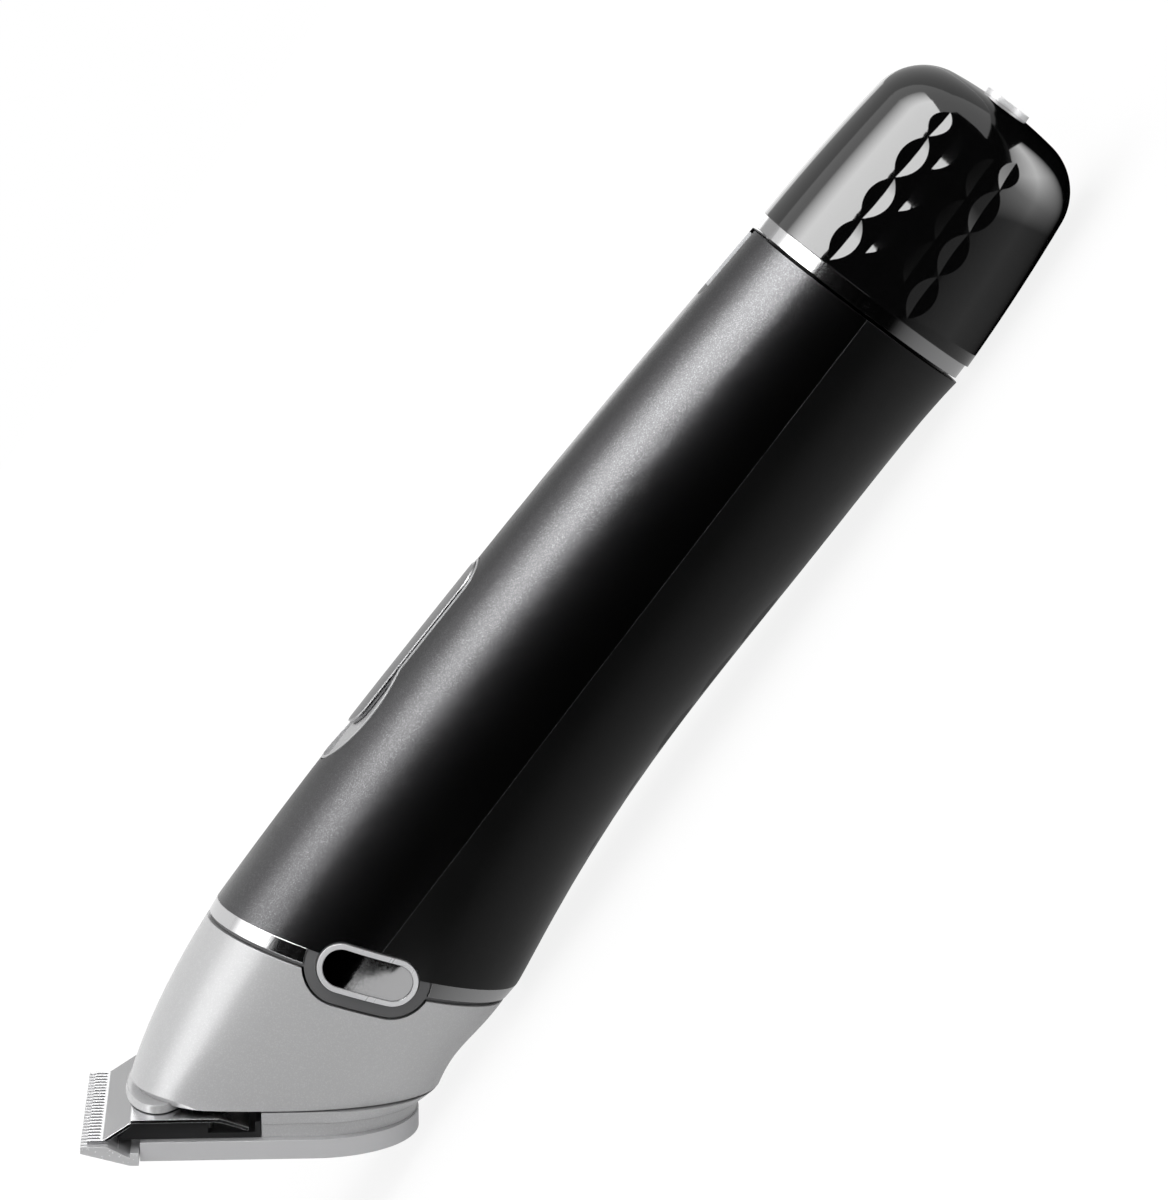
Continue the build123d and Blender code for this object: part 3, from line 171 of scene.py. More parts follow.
class Effects:
    """Shader groups that several finishes share, each built once."""

    built: ClassVar[dict[str, bpy.types.NodeTree]] = {}
    noise_span: ClassVar[Pair] = (0.3, 0.7)
    edge_span: ClassVar[Pair] = (0.8, 0.99)
    edge_samples: ClassVar[int] = 6

    @classmethod
    def start(cls, name: str, inputs: dict[str, float], outputs: tuple[str, ...]) -> Graph:
        """Open a new group with its sockets.

        Args:
            name: The group's name.
            inputs: Names and first values of its inputs.
            outputs: Names of its outputs.

        Returns:
            The graph to fill.
        """
        tree = bpy.data.node_groups.new(name, "ShaderNodeTree")
        for key, value in inputs.items():
            socket = tree.interface.new_socket(name=key, in_out="INPUT", socket_type="NodeSocketFloat")
            socket.default_value = value
        for key in outputs:
            kind = "NodeSocketVector" if key == "Normal" else "NodeSocketFloat"
            tree.interface.new_socket(name=key, in_out="OUTPUT", socket_type=kind)
        cls.built[name] = tree
        return Graph(tree)

    @classmethod
    def fleck(cls) -> bpy.types.NodeTree:
        """Metal flakes in paint.

        Returns:
            The group, with a mask of the flakes and their shade.
        """
        if "fleck" in cls.built:
            return cls.built["fleck"]
        graph = cls.start("fleck", {"Scale": 4000.0, "Share": 0.3}, ("Mask", "Shade"))
        given = graph.add("NodeGroupInput").outputs
        place = graph.place()
        cells = graph.add("ShaderNodeTexVoronoi", {"Vector": place, "Scale": given["Scale"]})
        parts = graph.add("ShaderNodeSeparateColor", {"Color": cells.outputs["Color"]})
        mask = graph.math("LESS_THAN", parts.outputs["Red"], given["Share"])
        result = graph.add("NodeGroupOutput")
        graph.feed(result.inputs["Mask"], mask)
        graph.feed(result.inputs["Shade"], parts.outputs["Green"])
        return graph.tree

    @classmethod
    def grain(cls) -> bpy.types.NodeTree:
        """Fine moulded grain, with slow changes of gloss from handling.

        Returns:
            The group, with the grain's height and a value from 0 to 1 for the handling.
        """
        if "grain" in cls.built:
            return cls.built["grain"]
        graph = cls.start("grain", {"Scale": 3500.0, "Patch": 60.0}, ("Height", "Handling"))
        given = graph.add("NodeGroupInput").outputs
        place = graph.place()
        fine = graph.add("ShaderNodeTexNoise", {"Vector": place, "Scale": given["Scale"], "Detail": 2.0})
        slow = graph.add("ShaderNodeTexNoise", {"Vector": place, "Scale": given["Patch"], "Detail": 3.0})
        result = graph.add("NodeGroupOutput")
        graph.feed(result.inputs["Height"], fine.outputs["Fac"])
        graph.feed(result.inputs["Handling"], graph.spread(slow.outputs["Fac"], 0.0, 1.0, *cls.noise_span))
        return graph.tree

    @classmethod
    def brush(cls, axis: Axis) -> bpy.types.NodeTree:
        """Brushed or ground lines along one direction.

        Args:
            axis: Direction of the lines.

        Returns:
            The group, whose output runs from 0 to 1 across the lines.
        """
        name = f"brush_{axis.name.lower()}"
        if name in cls.built:
            return cls.built[name]
        graph = cls.start(name, {"Scale": 3000.0}, ("Line",))
        given = graph.add("NodeGroupInput").outputs
        place = graph.place()
        drawn = graph.add("ShaderNodeMapping", {"Vector": place, "Scale": axis.value})
        lines = graph.add("ShaderNodeTexNoise", {"Vector": drawn.outputs[0], "Detail": 2.0})
        graph.feed(lines.inputs["Scale"], given["Scale"])
        result = graph.add("NodeGroupOutput")
        graph.feed(result.inputs["Line"], graph.spread(lines.outputs["Fac"], 0.0, 1.0, *cls.noise_span))
        return graph.tree

    @classmethod
    def soft_edge(cls) -> bpy.types.NodeTree:
        """Small round on every edge.

        Returns:
            The group, with the round's normal and a mask of where the edges are.
        """
        if "soft_edge" in cls.built:
            return cls.built["soft_edge"]
        graph = cls.start("soft_edge", {"Radius": 0.0002}, ("Normal", "Edge"))
        given = graph.add("NodeGroupInput").outputs
        rounded = graph.add("ShaderNodeBevel", {"Radius": given["Radius"]}, samples=cls.edge_samples)
        flat = graph.add("ShaderNodeNewGeometry").outputs["Normal"]
        facing = graph.add("ShaderNodeVectorMath", operation="DOT_PRODUCT")
        graph.feed(facing.inputs[0], rounded.outputs[0])
        graph.feed(facing.inputs[1], flat)
        edge = graph.spread(facing.outputs["Value"], 1.0, 0.0, *cls.edge_span)
        result = graph.add("NodeGroupOutput")
        graph.feed(result.inputs["Normal"], rounded.outputs[0])
        graph.feed(result.inputs["Edge"], edge)
        return graph.tree


@dataclass(frozen=True)
class Band:
    """What lies before a plane across the handle."""

    limit: float
    lean: float = 0.0

    def mask(self, graph: Graph) -> bpy.types.NodeSocket:
        """Mark the place.

        Args:
            graph: Graph of the material that has it.

        Returns:
            Socket that is 1 in the place.
        """
        parts = graph.place_parts()
        along = graph.math("MULTIPLY", parts["X"], math.cos(self.lean))
        drop = graph.math("MULTIPLY", parts["Z"], math.sin(self.lean))
        return graph.math("LESS_THAN", graph.math("SUBTRACT", along, drop), self.limit)


@dataclass(frozen=True)
class Bore:
    """The wall of a hole along the handle, without the pin in its middle."""

    height: float
    radius: float
    pin: float

    def mask(self, graph: Graph) -> bpy.types.NodeSocket:
        """Mark the place.

        Args:
            graph: Graph of the material that has it.

        Returns:
            Socket that is 1 in the place.
        """
        parts = graph.place_parts()
        rise = graph.math("SUBTRACT", parts["Z"], self.height)
        squares = (graph.math("MULTIPLY", part, part) for part in (parts["Y"], rise))
        away = graph.math("SQRT", graph.math("ADD", *squares))
        inside = graph.math("LESS_THAN", away, self.radius)
        return graph.math("MULTIPLY", inside, graph.math("GREATER_THAN", away, self.pin))


@dataclass(frozen=True)
class Finish:
    """A surface finish, made into one material the first time it is asked for."""

    name: str
    colour: Colour
    roughness: float
    edge_radius: float = 0.00015
    dark: Band | Bore | None = None
    made: ClassVar[dict[str, bpy.types.Material]] = {}

    def material(self) -> bpy.types.Material:
        """Make the finish's material, or find the one made before.

        Returns:
            The material.
        """
        if self.name not in self.made:
            material = bpy.data.materials.new(self.name)
            material.use_nodes = True
            graph = Graph(material.node_tree)
            shader = material.node_tree.nodes["Principled BSDF"]
            shader.inputs["Base Color"].default_value = (*self.colour, 1.0)
            shader.inputs["Roughness"].default_value = self.roughness
            material.diffuse_color = (*self.colour, 1.0)
            self.surface(graph, shader)
            if self.dark:
                self.darken(graph, shader, self.dark)
            self.made[self.name] = material
        return self.made[self.name]

    def darken(self, graph: Graph, shader: bpy.types.Node, place: Band | Bore) -> None:
        """Make one place of the finish nearly black.

        Args:
            graph: The material's graph.
            shader: Its Principled shader.
            place: The place.
        """
        base = shader.inputs["Base Color"]
        before = base.links[0].from_socket if base.is_linked else (*self.colour, 1.0)
        graph.feed(base, graph.blend(place.mask(graph), before, NEAR_BLACK))

    def surface(self, graph: Graph, shader: bpy.types.Node) -> None:
        """Fill in the finish's own nodes.

        Args:
            graph: The material's graph.
            shader: Its Principled shader.
        """
        raise NotImplementedError

    def group(self, graph: Graph, tree: bpy.types.NodeTree, **values: float) -> bpy.types.Node:
        """Place a shared effect in the material.

        Args:
            graph: The material's graph.
            tree: The effect.
            values: The effect's inputs.

        Returns:
            The group's node.
        """
        node = graph.add("ShaderNodeGroup", node_tree=tree)
        for key, value in values.items():
            node.inputs[key].default_value = value
        return node

    def relief(self, graph: Graph, shader: bpy.types.Node, height: Any, depth: float) -> bpy.types.Node:
        """Give the surface its fine relief over rounded edges.

        Args:
            graph: The material's graph.
            shader: Its Principled shader.
            height: Socket with the relief's height.
            depth: How deep the relief is, in metres.

        Returns:
            The edge effect's node.
        """
        edge = self.group(graph, Effects.soft_edge(), Radius=self.edge_radius)
        bump = graph.add("ShaderNodeBump", {"Height": height, "Distance": depth, "Strength": 1.0})
        graph.feed(bump.inputs["Normal"], edge.outputs["Normal"])
        graph.feed(shader.inputs["Normal"], bump.outputs["Normal"])
        return edge


@dataclass(frozen=True)
class Moulded(Finish):
    """Moulded plastic with a fine grain and handled patches."""

    gloss_change: float = 0.06
    grain_scale: float = 3500.0
    grain_depth: float = 0.000004
    specular: float = 0.4
    ior: float = 1.5
    edge_light: float = 1.6

    def surface(self, graph: Graph, shader: bpy.types.Node) -> None:
        """Fill in grain, changes of gloss and lighter edges, partly wear and partly a painted highlight.

        Args:
            graph: The material's graph.
            shader: Its Principled shader.
        """
        grain = self.group(graph, Effects.grain(), Scale=self.grain_scale)
        low, high = self.roughness - self.gloss_change, self.roughness + self.gloss_change
        graph.feed(shader.inputs["Roughness"], graph.spread(grain.outputs["Handling"], low, high))
        edge = self.relief(graph, shader, grain.outputs["Height"], self.grain_depth)
        # edges lighter in colour: partly wear, partly a painted highlight of edges catching light
        worn_and_highlit_edge = tuple(min(1.0, part * self.edge_light) for part in self.colour)
        mixed = graph.blend(edge.outputs["Edge"], (*self.colour, 1.0), (*worn_and_highlit_edge, 1.0))
        graph.feed(shader.inputs["Base Color"], mixed)
        shader.inputs["Specular IOR Level"].default_value = self.specular
        shader.inputs["IOR"].default_value = self.ior


@dataclass(frozen=True)
class FleckPaint(Finish):
    """Paint with fine metal flakes."""

    fleck: Colour = (0.4, 0.4, 0.41)
    fleck_scale: float = 6500.0
    share: float = 0.35
    metallic: float = 1.0
    relief_depth: float = 0.000004
    gloss_change: float = 0.01

    def surface(self, graph: Graph, shader: bpy.types.Node) -> None:
        """Fill in the flakes' colour, shine and tilt.

        Args:
            graph: The material's graph.
            shader: Its Principled shader.
        """
        flakes = self.group(graph, Effects.fleck(), Scale=self.fleck_scale, Share=self.share)
        grain = self.group(graph, Effects.grain(), Scale=self.fleck_scale / 2)
        glint = graph.math("MULTIPLY", flakes.outputs["Mask"], flakes.outputs["Shade"])
        mixed = graph.blend(glint, (*self.colour, 1.0), (*self.fleck, 1.0))
        graph.feed(shader.inputs["Base Color"], mixed)
        shader.inputs["Metallic"].default_value = self.metallic
        low, high = self.roughness - self.gloss_change, self.roughness + self.gloss_change
        graph.feed(shader.inputs["Roughness"], graph.spread(grain.outputs["Handling"], low, high))
        self.relief(graph, shader, flakes.outputs["Shade"], self.relief_depth)


@dataclass(frozen=True)
class Metal(Finish):
    """Bare or plated metal with brushed or ground lines."""

    axis: Axis = Axis.WIDTH
    line_scale: float = 3000.0
    line_depth: float = 0.000002
    change: float = 0.08
    metallic: float = 1.0
    edge_light: float = 1.25
    least_roughness: float = 0.02

    def surface(self, graph: Graph, shader: bpy.types.Node) -> None:
        """Fill in the lines, their gloss and the brighter edges, partly wear and partly a painted highlight.

        Args:
            graph: The material's graph.
            shader: Its Principled shader.
        """
        lines = self.group(graph, Effects.brush(self.axis), Scale=self.line_scale)
        shader.inputs["Metallic"].default_value = self.metallic
        low, high = max(self.least_roughness, self.roughness - self.change), self.roughness + self.change
        graph.feed(shader.inputs["Roughness"], graph.spread(lines.outputs["Line"], low, high))
        edge = self.relief(graph, shader, lines.outputs["Line"], self.line_depth)
        # edges brighter in colour: partly rubbed wear, partly a painted highlight of edges catching light
        bright = tuple(min(1.0, part * self.edge_light) for part in self.colour)
        mixed = graph.blend(edge.outputs["Edge"], (*self.colour, 1.0), (*bright, 1.0))
        graph.feed(shader.inputs["Base Color"], mixed)


@dataclass(frozen=True)
class Frosted(Finish):
    """Cloudy clear moulding that passes light."""

    passing: float = 0.5
    gloss_change: float = 0.1
    grain_scale: float = 1800.0
    grain_depth: float = 0.000003

    def surface(self, graph: Graph, shader: bpy.types.Node) -> None:
        """Fill in the cloud and let light through.

        Args:
            graph: The material's graph.
            shader: Its Principled shader.
        """
        grain = self.group(graph, Effects.grain(), Scale=self.grain_scale)
        low, high = self.roughness - self.gloss_change, self.roughness + self.gloss_change
        graph.feed(shader.inputs["Roughness"], graph.spread(grain.outputs["Handling"], low, high))
        self.relief(graph, shader, grain.outputs["Height"], self.grain_depth)
        shader.inputs["Transmission Weight"].default_value = self.passing


BODY_PAINT = FleckPaint(
    "body_paint", (0.078, 0.078, 0.08), 0.26, 0.00005, fleck=(0.125, 0.125, 0.128), fleck_scale=12000.0,
    relief_depth=0.0000015,
)
BODY_PLAIN = Moulded("body_plain", (0.0028, 0.0028, 0.003), 0.36, specular=0.55)
CAP_GLOSS = Moulded(
    "cap_gloss", (0.0022, 0.0022, 0.0023), 0.07, gloss_change=0.02, grain_depth=0.0000005, specular=0.9
)
BRIGHT_TRIM = Metal("bright_trim", (0.58, 0.58, 0.585), 0.14, axis=Axis.ROUND, change=0.03)
# bright trim whose edge next to the front shell is painted nearly black: a painted shadow of the gap between
# shell and ring
RING_TRIM_GAP_SHADOW = Metal(
    "ring_trim", (0.58, 0.58, 0.585), 0.14, dark=Band(0.05152, math.radians(1.5)), axis=Axis.ROUND,
    change=0.03,
)
FRAME_SATIN = Metal("frame_satin", (0.7, 0.7, 0.71), 0.3, axis=Axis.ROUND, change=0.03, metallic=0.3)
SLIDER_SATIN = Metal("slider_satin", (0.38, 0.38, 0.385), 0.2, 0.0005, axis=Axis.LENGTH, change=0.03)
COLLAR_GREY = Moulded("collar_grey", (0.095, 0.095, 0.097), 0.5, edge_light=1.2)
SILVER = FleckPaint(
    "silver_plastic", (0.49, 0.49, 0.495), 0.24, fleck=(0.55, 0.55, 0.555), fleck_scale=9000.0, metallic=0.2
)
BUTTON_GLOSS = Metal("button_gloss", (0.5, 0.5, 0.505), 0.07, line_depth=0.00000001, change=0.02)
BLADE_STEEL = Metal(
    "blade_steel", (0.72, 0.72, 0.73), 0.25, line_depth=0.00000001, change=0.03, metallic=0.35
)
CUTTER_STEEL = Metal("cutter_steel", (0.72, 0.72, 0.73), 0.2, line_depth=0.00000002, change=0.03)
SOLE_STEEL = Metal("sole_steel", (0.55, 0.55, 0.56), 0.42, line_depth=0.000001, metallic=0.2)
INNER_BLACK = Moulded("inner_black", (0.02, 0.02, 0.021), 0.5)
INNER_WHITE = Moulded("inner_white", (0.72, 0.72, 0.7), 0.45)
LIGHT_PIPE = Frosted("light_pipe", (0.7, 0.71, 0.73), 0.4)
LIGHT_WINDOW = Frosted("light_window", (0.7, 0.71, 0.73), 0.4, dark=Band(0.0434))
MOTOR_STEEL = Metal("motor_steel", (0.58, 0.58, 0.58), 0.3, axis=Axis.LENGTH)
SCREW_STEEL = Metal("screw_steel", (0.5, 0.5, 0.5), 0.3)
SPRING_STEEL = Metal("spring_steel", (0.55, 0.55, 0.55), 0.24, axis=Axis.LENGTH)
BATTERY_WRAP = Moulded("battery_wrap", (0.05, 0.16, 0.09), 0.25, grain_scale=900.0)
BOARD_GREEN = Moulded("board_green", (0.02, 0.14, 0.05), 0.3, grain_scale=1200.0)
NICKEL = Metal("nickel", (0.68, 0.66, 0.6), 0.26)
JACK_PLATE = Metal(
    "jack_plate", (0.9, 0.9, 0.905), 0.32, dark=Bore(0.01447, 0.00253, 0.0007), change=0.03, metallic=0.1
)
CHIP_BLACK = Moulded("chip_black", (0.012, 0.012, 0.013), 0.45, grain_scale=6000.0)
SOLDER = Metal("solder", (0.6, 0.6, 0.62), 0.2, line_scale=9000.0, change=0.05)


@dataclass
class Assembly:
    """A group of the clipper's pieces and the finish of each."""

    title: ClassVar[str] = "assembly"
    finishes: ClassVar[dict[str, Finish]] = {}

    def dress(self) -> None:
        """Give each of the group's solids its finish."""
        for node, finish in self.finishes.items():
            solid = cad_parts[node]
            solid.data.materials.clear()
            solid.data.materials.append(finish.material())
            LOG.info("%s: %s in %s", self.title, node, finish.name)


def add_piece(name: str, shape: bmesh.types.BMesh, finish: Finish, body: str) -> bpy.types.Object:
    """Make a piece of the object from a closed shape.

    Args:
        name: Name of the piece.
        shape: The shape, which is freed.
        finish: Finish of the piece.
        body: Body that the piece rides on.

    Returns:
        The piece.
    """
    bmesh.ops.recalc_face_normals(shape, faces=shape.faces)
    mesh = bpy.data.meshes.new(name)
    shape.to_mesh(mesh)
    shape.free()
    mesh.shade_smooth()
    mesh.set_sharp_from_angle(angle=SHARP_ANGLE)
    mesh.materials.append(finish.material())
    piece = bpy.data.objects.new(name, mesh)
    bpy.context.scene.collection.objects.link(piece)
    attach(piece, body)
    return piece


def join_rings(shape: bmesh.types.BMesh, first: Ring, second: Ring) -> None:
    """Close the wall between two rings.

    Args:
        shape: The shape that both rings are in.
        first: Points of one ring, in order.
        second: As many points of the other, in the same order.
    """
    for here in range(len(first)):
        after = (here + 1) % len(first)
        shape.faces.new((first[here], first[after], second[after], second[here]))


@dataclass
class Handle(Assembly):
    """Shells, cap, ring, collar and trims of the handle."""

    title: ClassVar[str] = "handle"
    finishes: ClassVar[dict[str, Finish]] = {
        "front_shell": BODY_PAINT,
        "rear_shell": BODY_PLAIN,
        "end_cap": CAP_GLOSS,
        "cap_ring": RING_TRIM_GAP_SHADOW,
        "charge_jack": JACK_PLATE,
        "neck_collar": COLLAR_GREY,
        "neck_trim_front": BRIGHT_TRIM,
        "neck_trim_rear": BRIGHT_TRIM,
        "light_guide": LIGHT_WINDOW,
    }


@dataclass
class Switch(Assembly):
    """Bezel, slider and what the slider moves."""

    title: ClassVar[str] = "switch"
    finishes: ClassVar[dict[str, Finish]] = {
        "slider_bezel": SILVER,
        "power_slider": SLIDER_SATIN,
        "slider_carriage": INNER_BLACK,
        "slide_switch": INNER_BLACK,
        "switch_nub": INNER_WHITE,
    }


@dataclass
class Buttons(Assembly):
    """Head release buttons on both sides of the neck."""

    slant: float = math.radians(19.0)
    leaf_middle: Pair = (-0.0450314, 0.0178820)
    leaf_floor: float = 0.0123
    leaf_rise: float = 0.0011
    leaf_length: float = 0.008
    leaf_width: float = 0.002
    leaf_thickness: float = 0.00025
    leaf_slack: float = 0.00001
    leaf_steps: int = 24
    press: float = 0.001
    title: ClassVar[str] = "buttons"
    finishes: ClassVar[dict[str, Finish]] = {
        "release_frame_left": FRAME_SATIN,
        "release_frame_right": FRAME_SATIN,
        "release_insert_left": BUTTON_GLOSS,
        "release_insert_right": BUTTON_GLOSS,
        "release_spring_left": SPRING_STEEL,
        "release_spring_right": SPRING_STEEL,
    }

    def bow(self) -> list[Pair]:
        """Draw the leaf from its side.

        Returns:
            Points round the leaf, along it and out from the neck.
        """
        places = [self.leaf_length * (step / self.leaf_steps - 0.5) for step in range(self.leaf_steps + 1)]
        drop = self.leaf_rise - self.leaf_slack - self.leaf_thickness
        lower = [(place, drop * (1.0 - (2.0 * place / self.leaf_length) ** 2)) for place in places]
        upper = [(place, rise + self.leaf_thickness) for place, rise in reversed(lower)]
        return lower + upper

    def leaf(self, word: str, side: int) -> None:
        """Put in a bowed leaf in place of the button's spring.

        Args:
            word: Left or right, as the names of the nodes have it.
            side: 1 on the left and -1 on the right.
        """
        middle_x, middle_z = self.leaf_middle
        along = Vector((math.sin(self.slant), 0.0, -math.cos(self.slant)))
        across = Vector((math.cos(self.slant), 0.0, math.sin(self.slant)))
        seat = Vector((middle_x, side * self.leaf_floor, middle_z))
        out = Vector((0.0, side, 0.0))
        shape = bmesh.new()
        edges = []
        for edge in (-0.5, 0.5):
            start = seat + across * (edge * self.leaf_width)
            edges.append([shape.verts.new(start + along * place + out * rise) for place, rise in self.bow()])
        join_rings(shape, *edges)
        for edge in edges:
            for step in range(self.leaf_steps):
                shape.faces.new((edge[step], edge[step + 1], edge[-2 - step], edge[-1 - step]))
        piece = add_piece(f"release_leaf_{word}", shape, SPRING_STEEL, "handle")
        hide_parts(f"release_spring_{word}")
        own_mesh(piece)
        LOG.info("%s: leaf %s in %s", self.title, word, SPRING_STEEL.name)

    def dress(self) -> None:
        """Dress the solids and put in the leaves."""
        super().dress()
        self.leaf("left", 1)
        self.leaf("right", -1)


@dataclass
class Head(Assembly):
    """Housing, blade set and lever of the pull-off head."""

    tilt: float = math.radians(54.2)
    heel_x: float = -0.0592804
    foot_u: float = 0.0312
    foot_reach: float = 0.004
    foot_half_width: float = 0.013
    foot_inner_u: float = 0.0316
    foot_inner_y: float = 0.0092
    foot_low: float = 0.00498
    foot_high: float = 0.00587
    foot_taper: float = math.radians(15.0)
    foot_skin: float = 0.00003
    foot_steps: int = 72
    title: ClassVar[str] = "head"
    finishes: ClassVar[dict[str, Finish]] = {
        "head_housing": SILVER,
        "head_bracket": INNER_BLACK,
        "head_base": SILVER,
        "sole_plate": SOLE_STEEL,
        "sole_screws": SCREW_STEEL,
        "fixed_blade": BLADE_STEEL,
        "cutter": CUTTER_STEEL,
        "cutter_guide": INNER_BLACK,
        "blade_spring": SPRING_STEEL,
        "drive_lever": INNER_WHITE,
        "lever_pivot": SCREW_STEEL,
    }

    def placed(self, along: float, across: float, up: float) -> Triple:
        """Take a point of the head's frame into the clipper's.

        Args:
            along: Way from the heel to the teeth, on the sole.
            across: Way to the left.
            up: Height over the sole.

        Returns:
            The point in the clipper's frame.
        """
        lean, rise = math.cos(self.tilt), math.sin(self.tilt)
        return (self.heel_x - along * lean + up * rise, across, along * rise + up * lean)

    def foot_outline(self, inset: float) -> list[Pair]:
        """Trace the crescent of the housing's foot.

        Args:
            inset: How far the outline lies inside the foot's lower oval.

        Returns:
            Points along and across the head, from the right end round the front to the left one.
        """
        reach, half = self.foot_reach - inset, self.foot_half_width - inset
        last = math.pi - math.asin(self.foot_inner_y / half)
        angles = [last * (2 * step / self.foot_steps - 1) for step in range(self.foot_steps + 1)]
        oval = [(self.foot_u + reach * math.cos(angle), half * math.sin(angle)) for angle in angles]
        return [*oval, (self.foot_inner_u, self.foot_inner_y), (self.foot_inner_u, -self.foot_inner_y)]

    def foot(self) -> None:
        """Cover the housing's foot with one that runs on round both ends."""
        inset = (self.foot_high - self.foot_low) * math.tan(self.foot_taper)
        shape = bmesh.new()
        rings = []
        for level, share in ((self.foot_low, -self.foot_skin), (self.foot_high, inset - self.foot_skin)):
            points = [self.placed(along, across, level) for along, across in self.foot_outline(share)]
            rings.append([shape.verts.new(point) for point in points])
        shape.faces.new(rings[0])
        shape.faces.new(rings[1])
        join_rings(shape, *rings)
        add_piece("housing_foot", shape, SILVER, "head")
        LOG.info("%s: housing foot in %s", self.title, SILVER.name)

    def dress(self) -> None:
        """Dress the solids and add the foot."""
        super().dress()
        self.foot()


@dataclass
class Works(Assembly):
    """Motor, battery and electronics inside the handle."""

    title: ClassVar[str] = "works"
    finishes: ClassVar[dict[str, Finish]] = {
        "chassis": INNER_BLACK,
        "chassis_screws": SCREW_STEEL,
        "motor_can": MOTOR_STEEL,
        "motor_bell": INNER_BLACK,
        "motor_mount": MOTOR_STEEL,
        "motor_screws": SCREW_STEEL,
        "motor_shaft": SCREW_STEEL,
        "eccentric_cam": INNER_WHITE,
        "battery_cell": BATTERY_WRAP,
        "battery_tabs": NICKEL,
        "main_board": BOARD_GREEN,
        "board_screws": SCREW_STEEL,
        "charge_led": LIGHT_PIPE,
    }


class NodeMesh:
    """A Geometry Nodes tree with named inputs, and the plain mesh that comes of it."""

    def __init__(self, name: str, inputs: dict[str, float | int]) -> None:
        """Open the tree with its inputs.

        Args:
            name: Name of the tree and of the piece.
            inputs: Names and values of the inputs; a whole number makes a whole number's socket.
        """
        self.name = name
        self.values = inputs
        self.graph = Graph(bpy.data.node_groups.new(name, "GeometryNodeTree"))
        sockets = self.graph.tree.interface
        self.keys = {}
        for key, value in inputs.items():
            kind = "NodeSocketInt" if isinstance(value, int) else "NodeSocketFloat"
            self.keys[key] = sockets.new_socket(name=key, in_out="INPUT", socket_type=kind).identifier
        sockets.new_socket(name="Geometry", in_out="OUTPUT", socket_type="NodeSocketGeometry")
        self.given = self.graph.add("NodeGroupInput").outputs

    def triple(self, across: Any, along: Any, up: Any) -> bpy.types.NodeSocket:
        """Join three numbers into a vector.

        Args:
            across: First part.
            along: Second part.
            up: Third part.

        Returns:
            The vector's socket.
        """
        node = self.graph.add("ShaderNodeCombineXYZ", {"X": across, "Y": along, "Z": up})
        return node.outputs[0]

    def piece(self, shape: bpy.types.NodeSocket, finish: Finish) -> bpy.types.Object:
        """Close the tree and turn its result into a piece.

        Args:
            shape: Socket with the shape.
            finish: What the shape is made of.

        Returns:
            A piece with a plain mesh and no modifier.
        """
        graph = self.graph
        whole = graph.add("GeometryNodeRealizeInstances", {"Geometry": shape}).outputs[0]
        dressed = graph.add("GeometryNodeSetMaterial", {"Geometry": whole, "Material": finish.material()})
        graph.feed(graph.add("NodeGroupOutput").inputs[0], dressed.outputs[0])
        piece = bpy.data.objects.new(self.name, bpy.data.meshes.new(self.name))
        bpy.context.scene.collection.objects.link(piece)
        modifier = piece.modifiers.new(self.name, "NODES")
        modifier.node_group = graph.tree
        for key, value in self.values.items():
            modifier[self.keys[key]] = value
        seen = piece.evaluated_get(bpy.context.evaluated_depsgraph_get())
        mesh = bpy.data.meshes.new_from_object(seen)
        piece.modifiers.remove(modifier)
        piece.data = mesh
        return piece


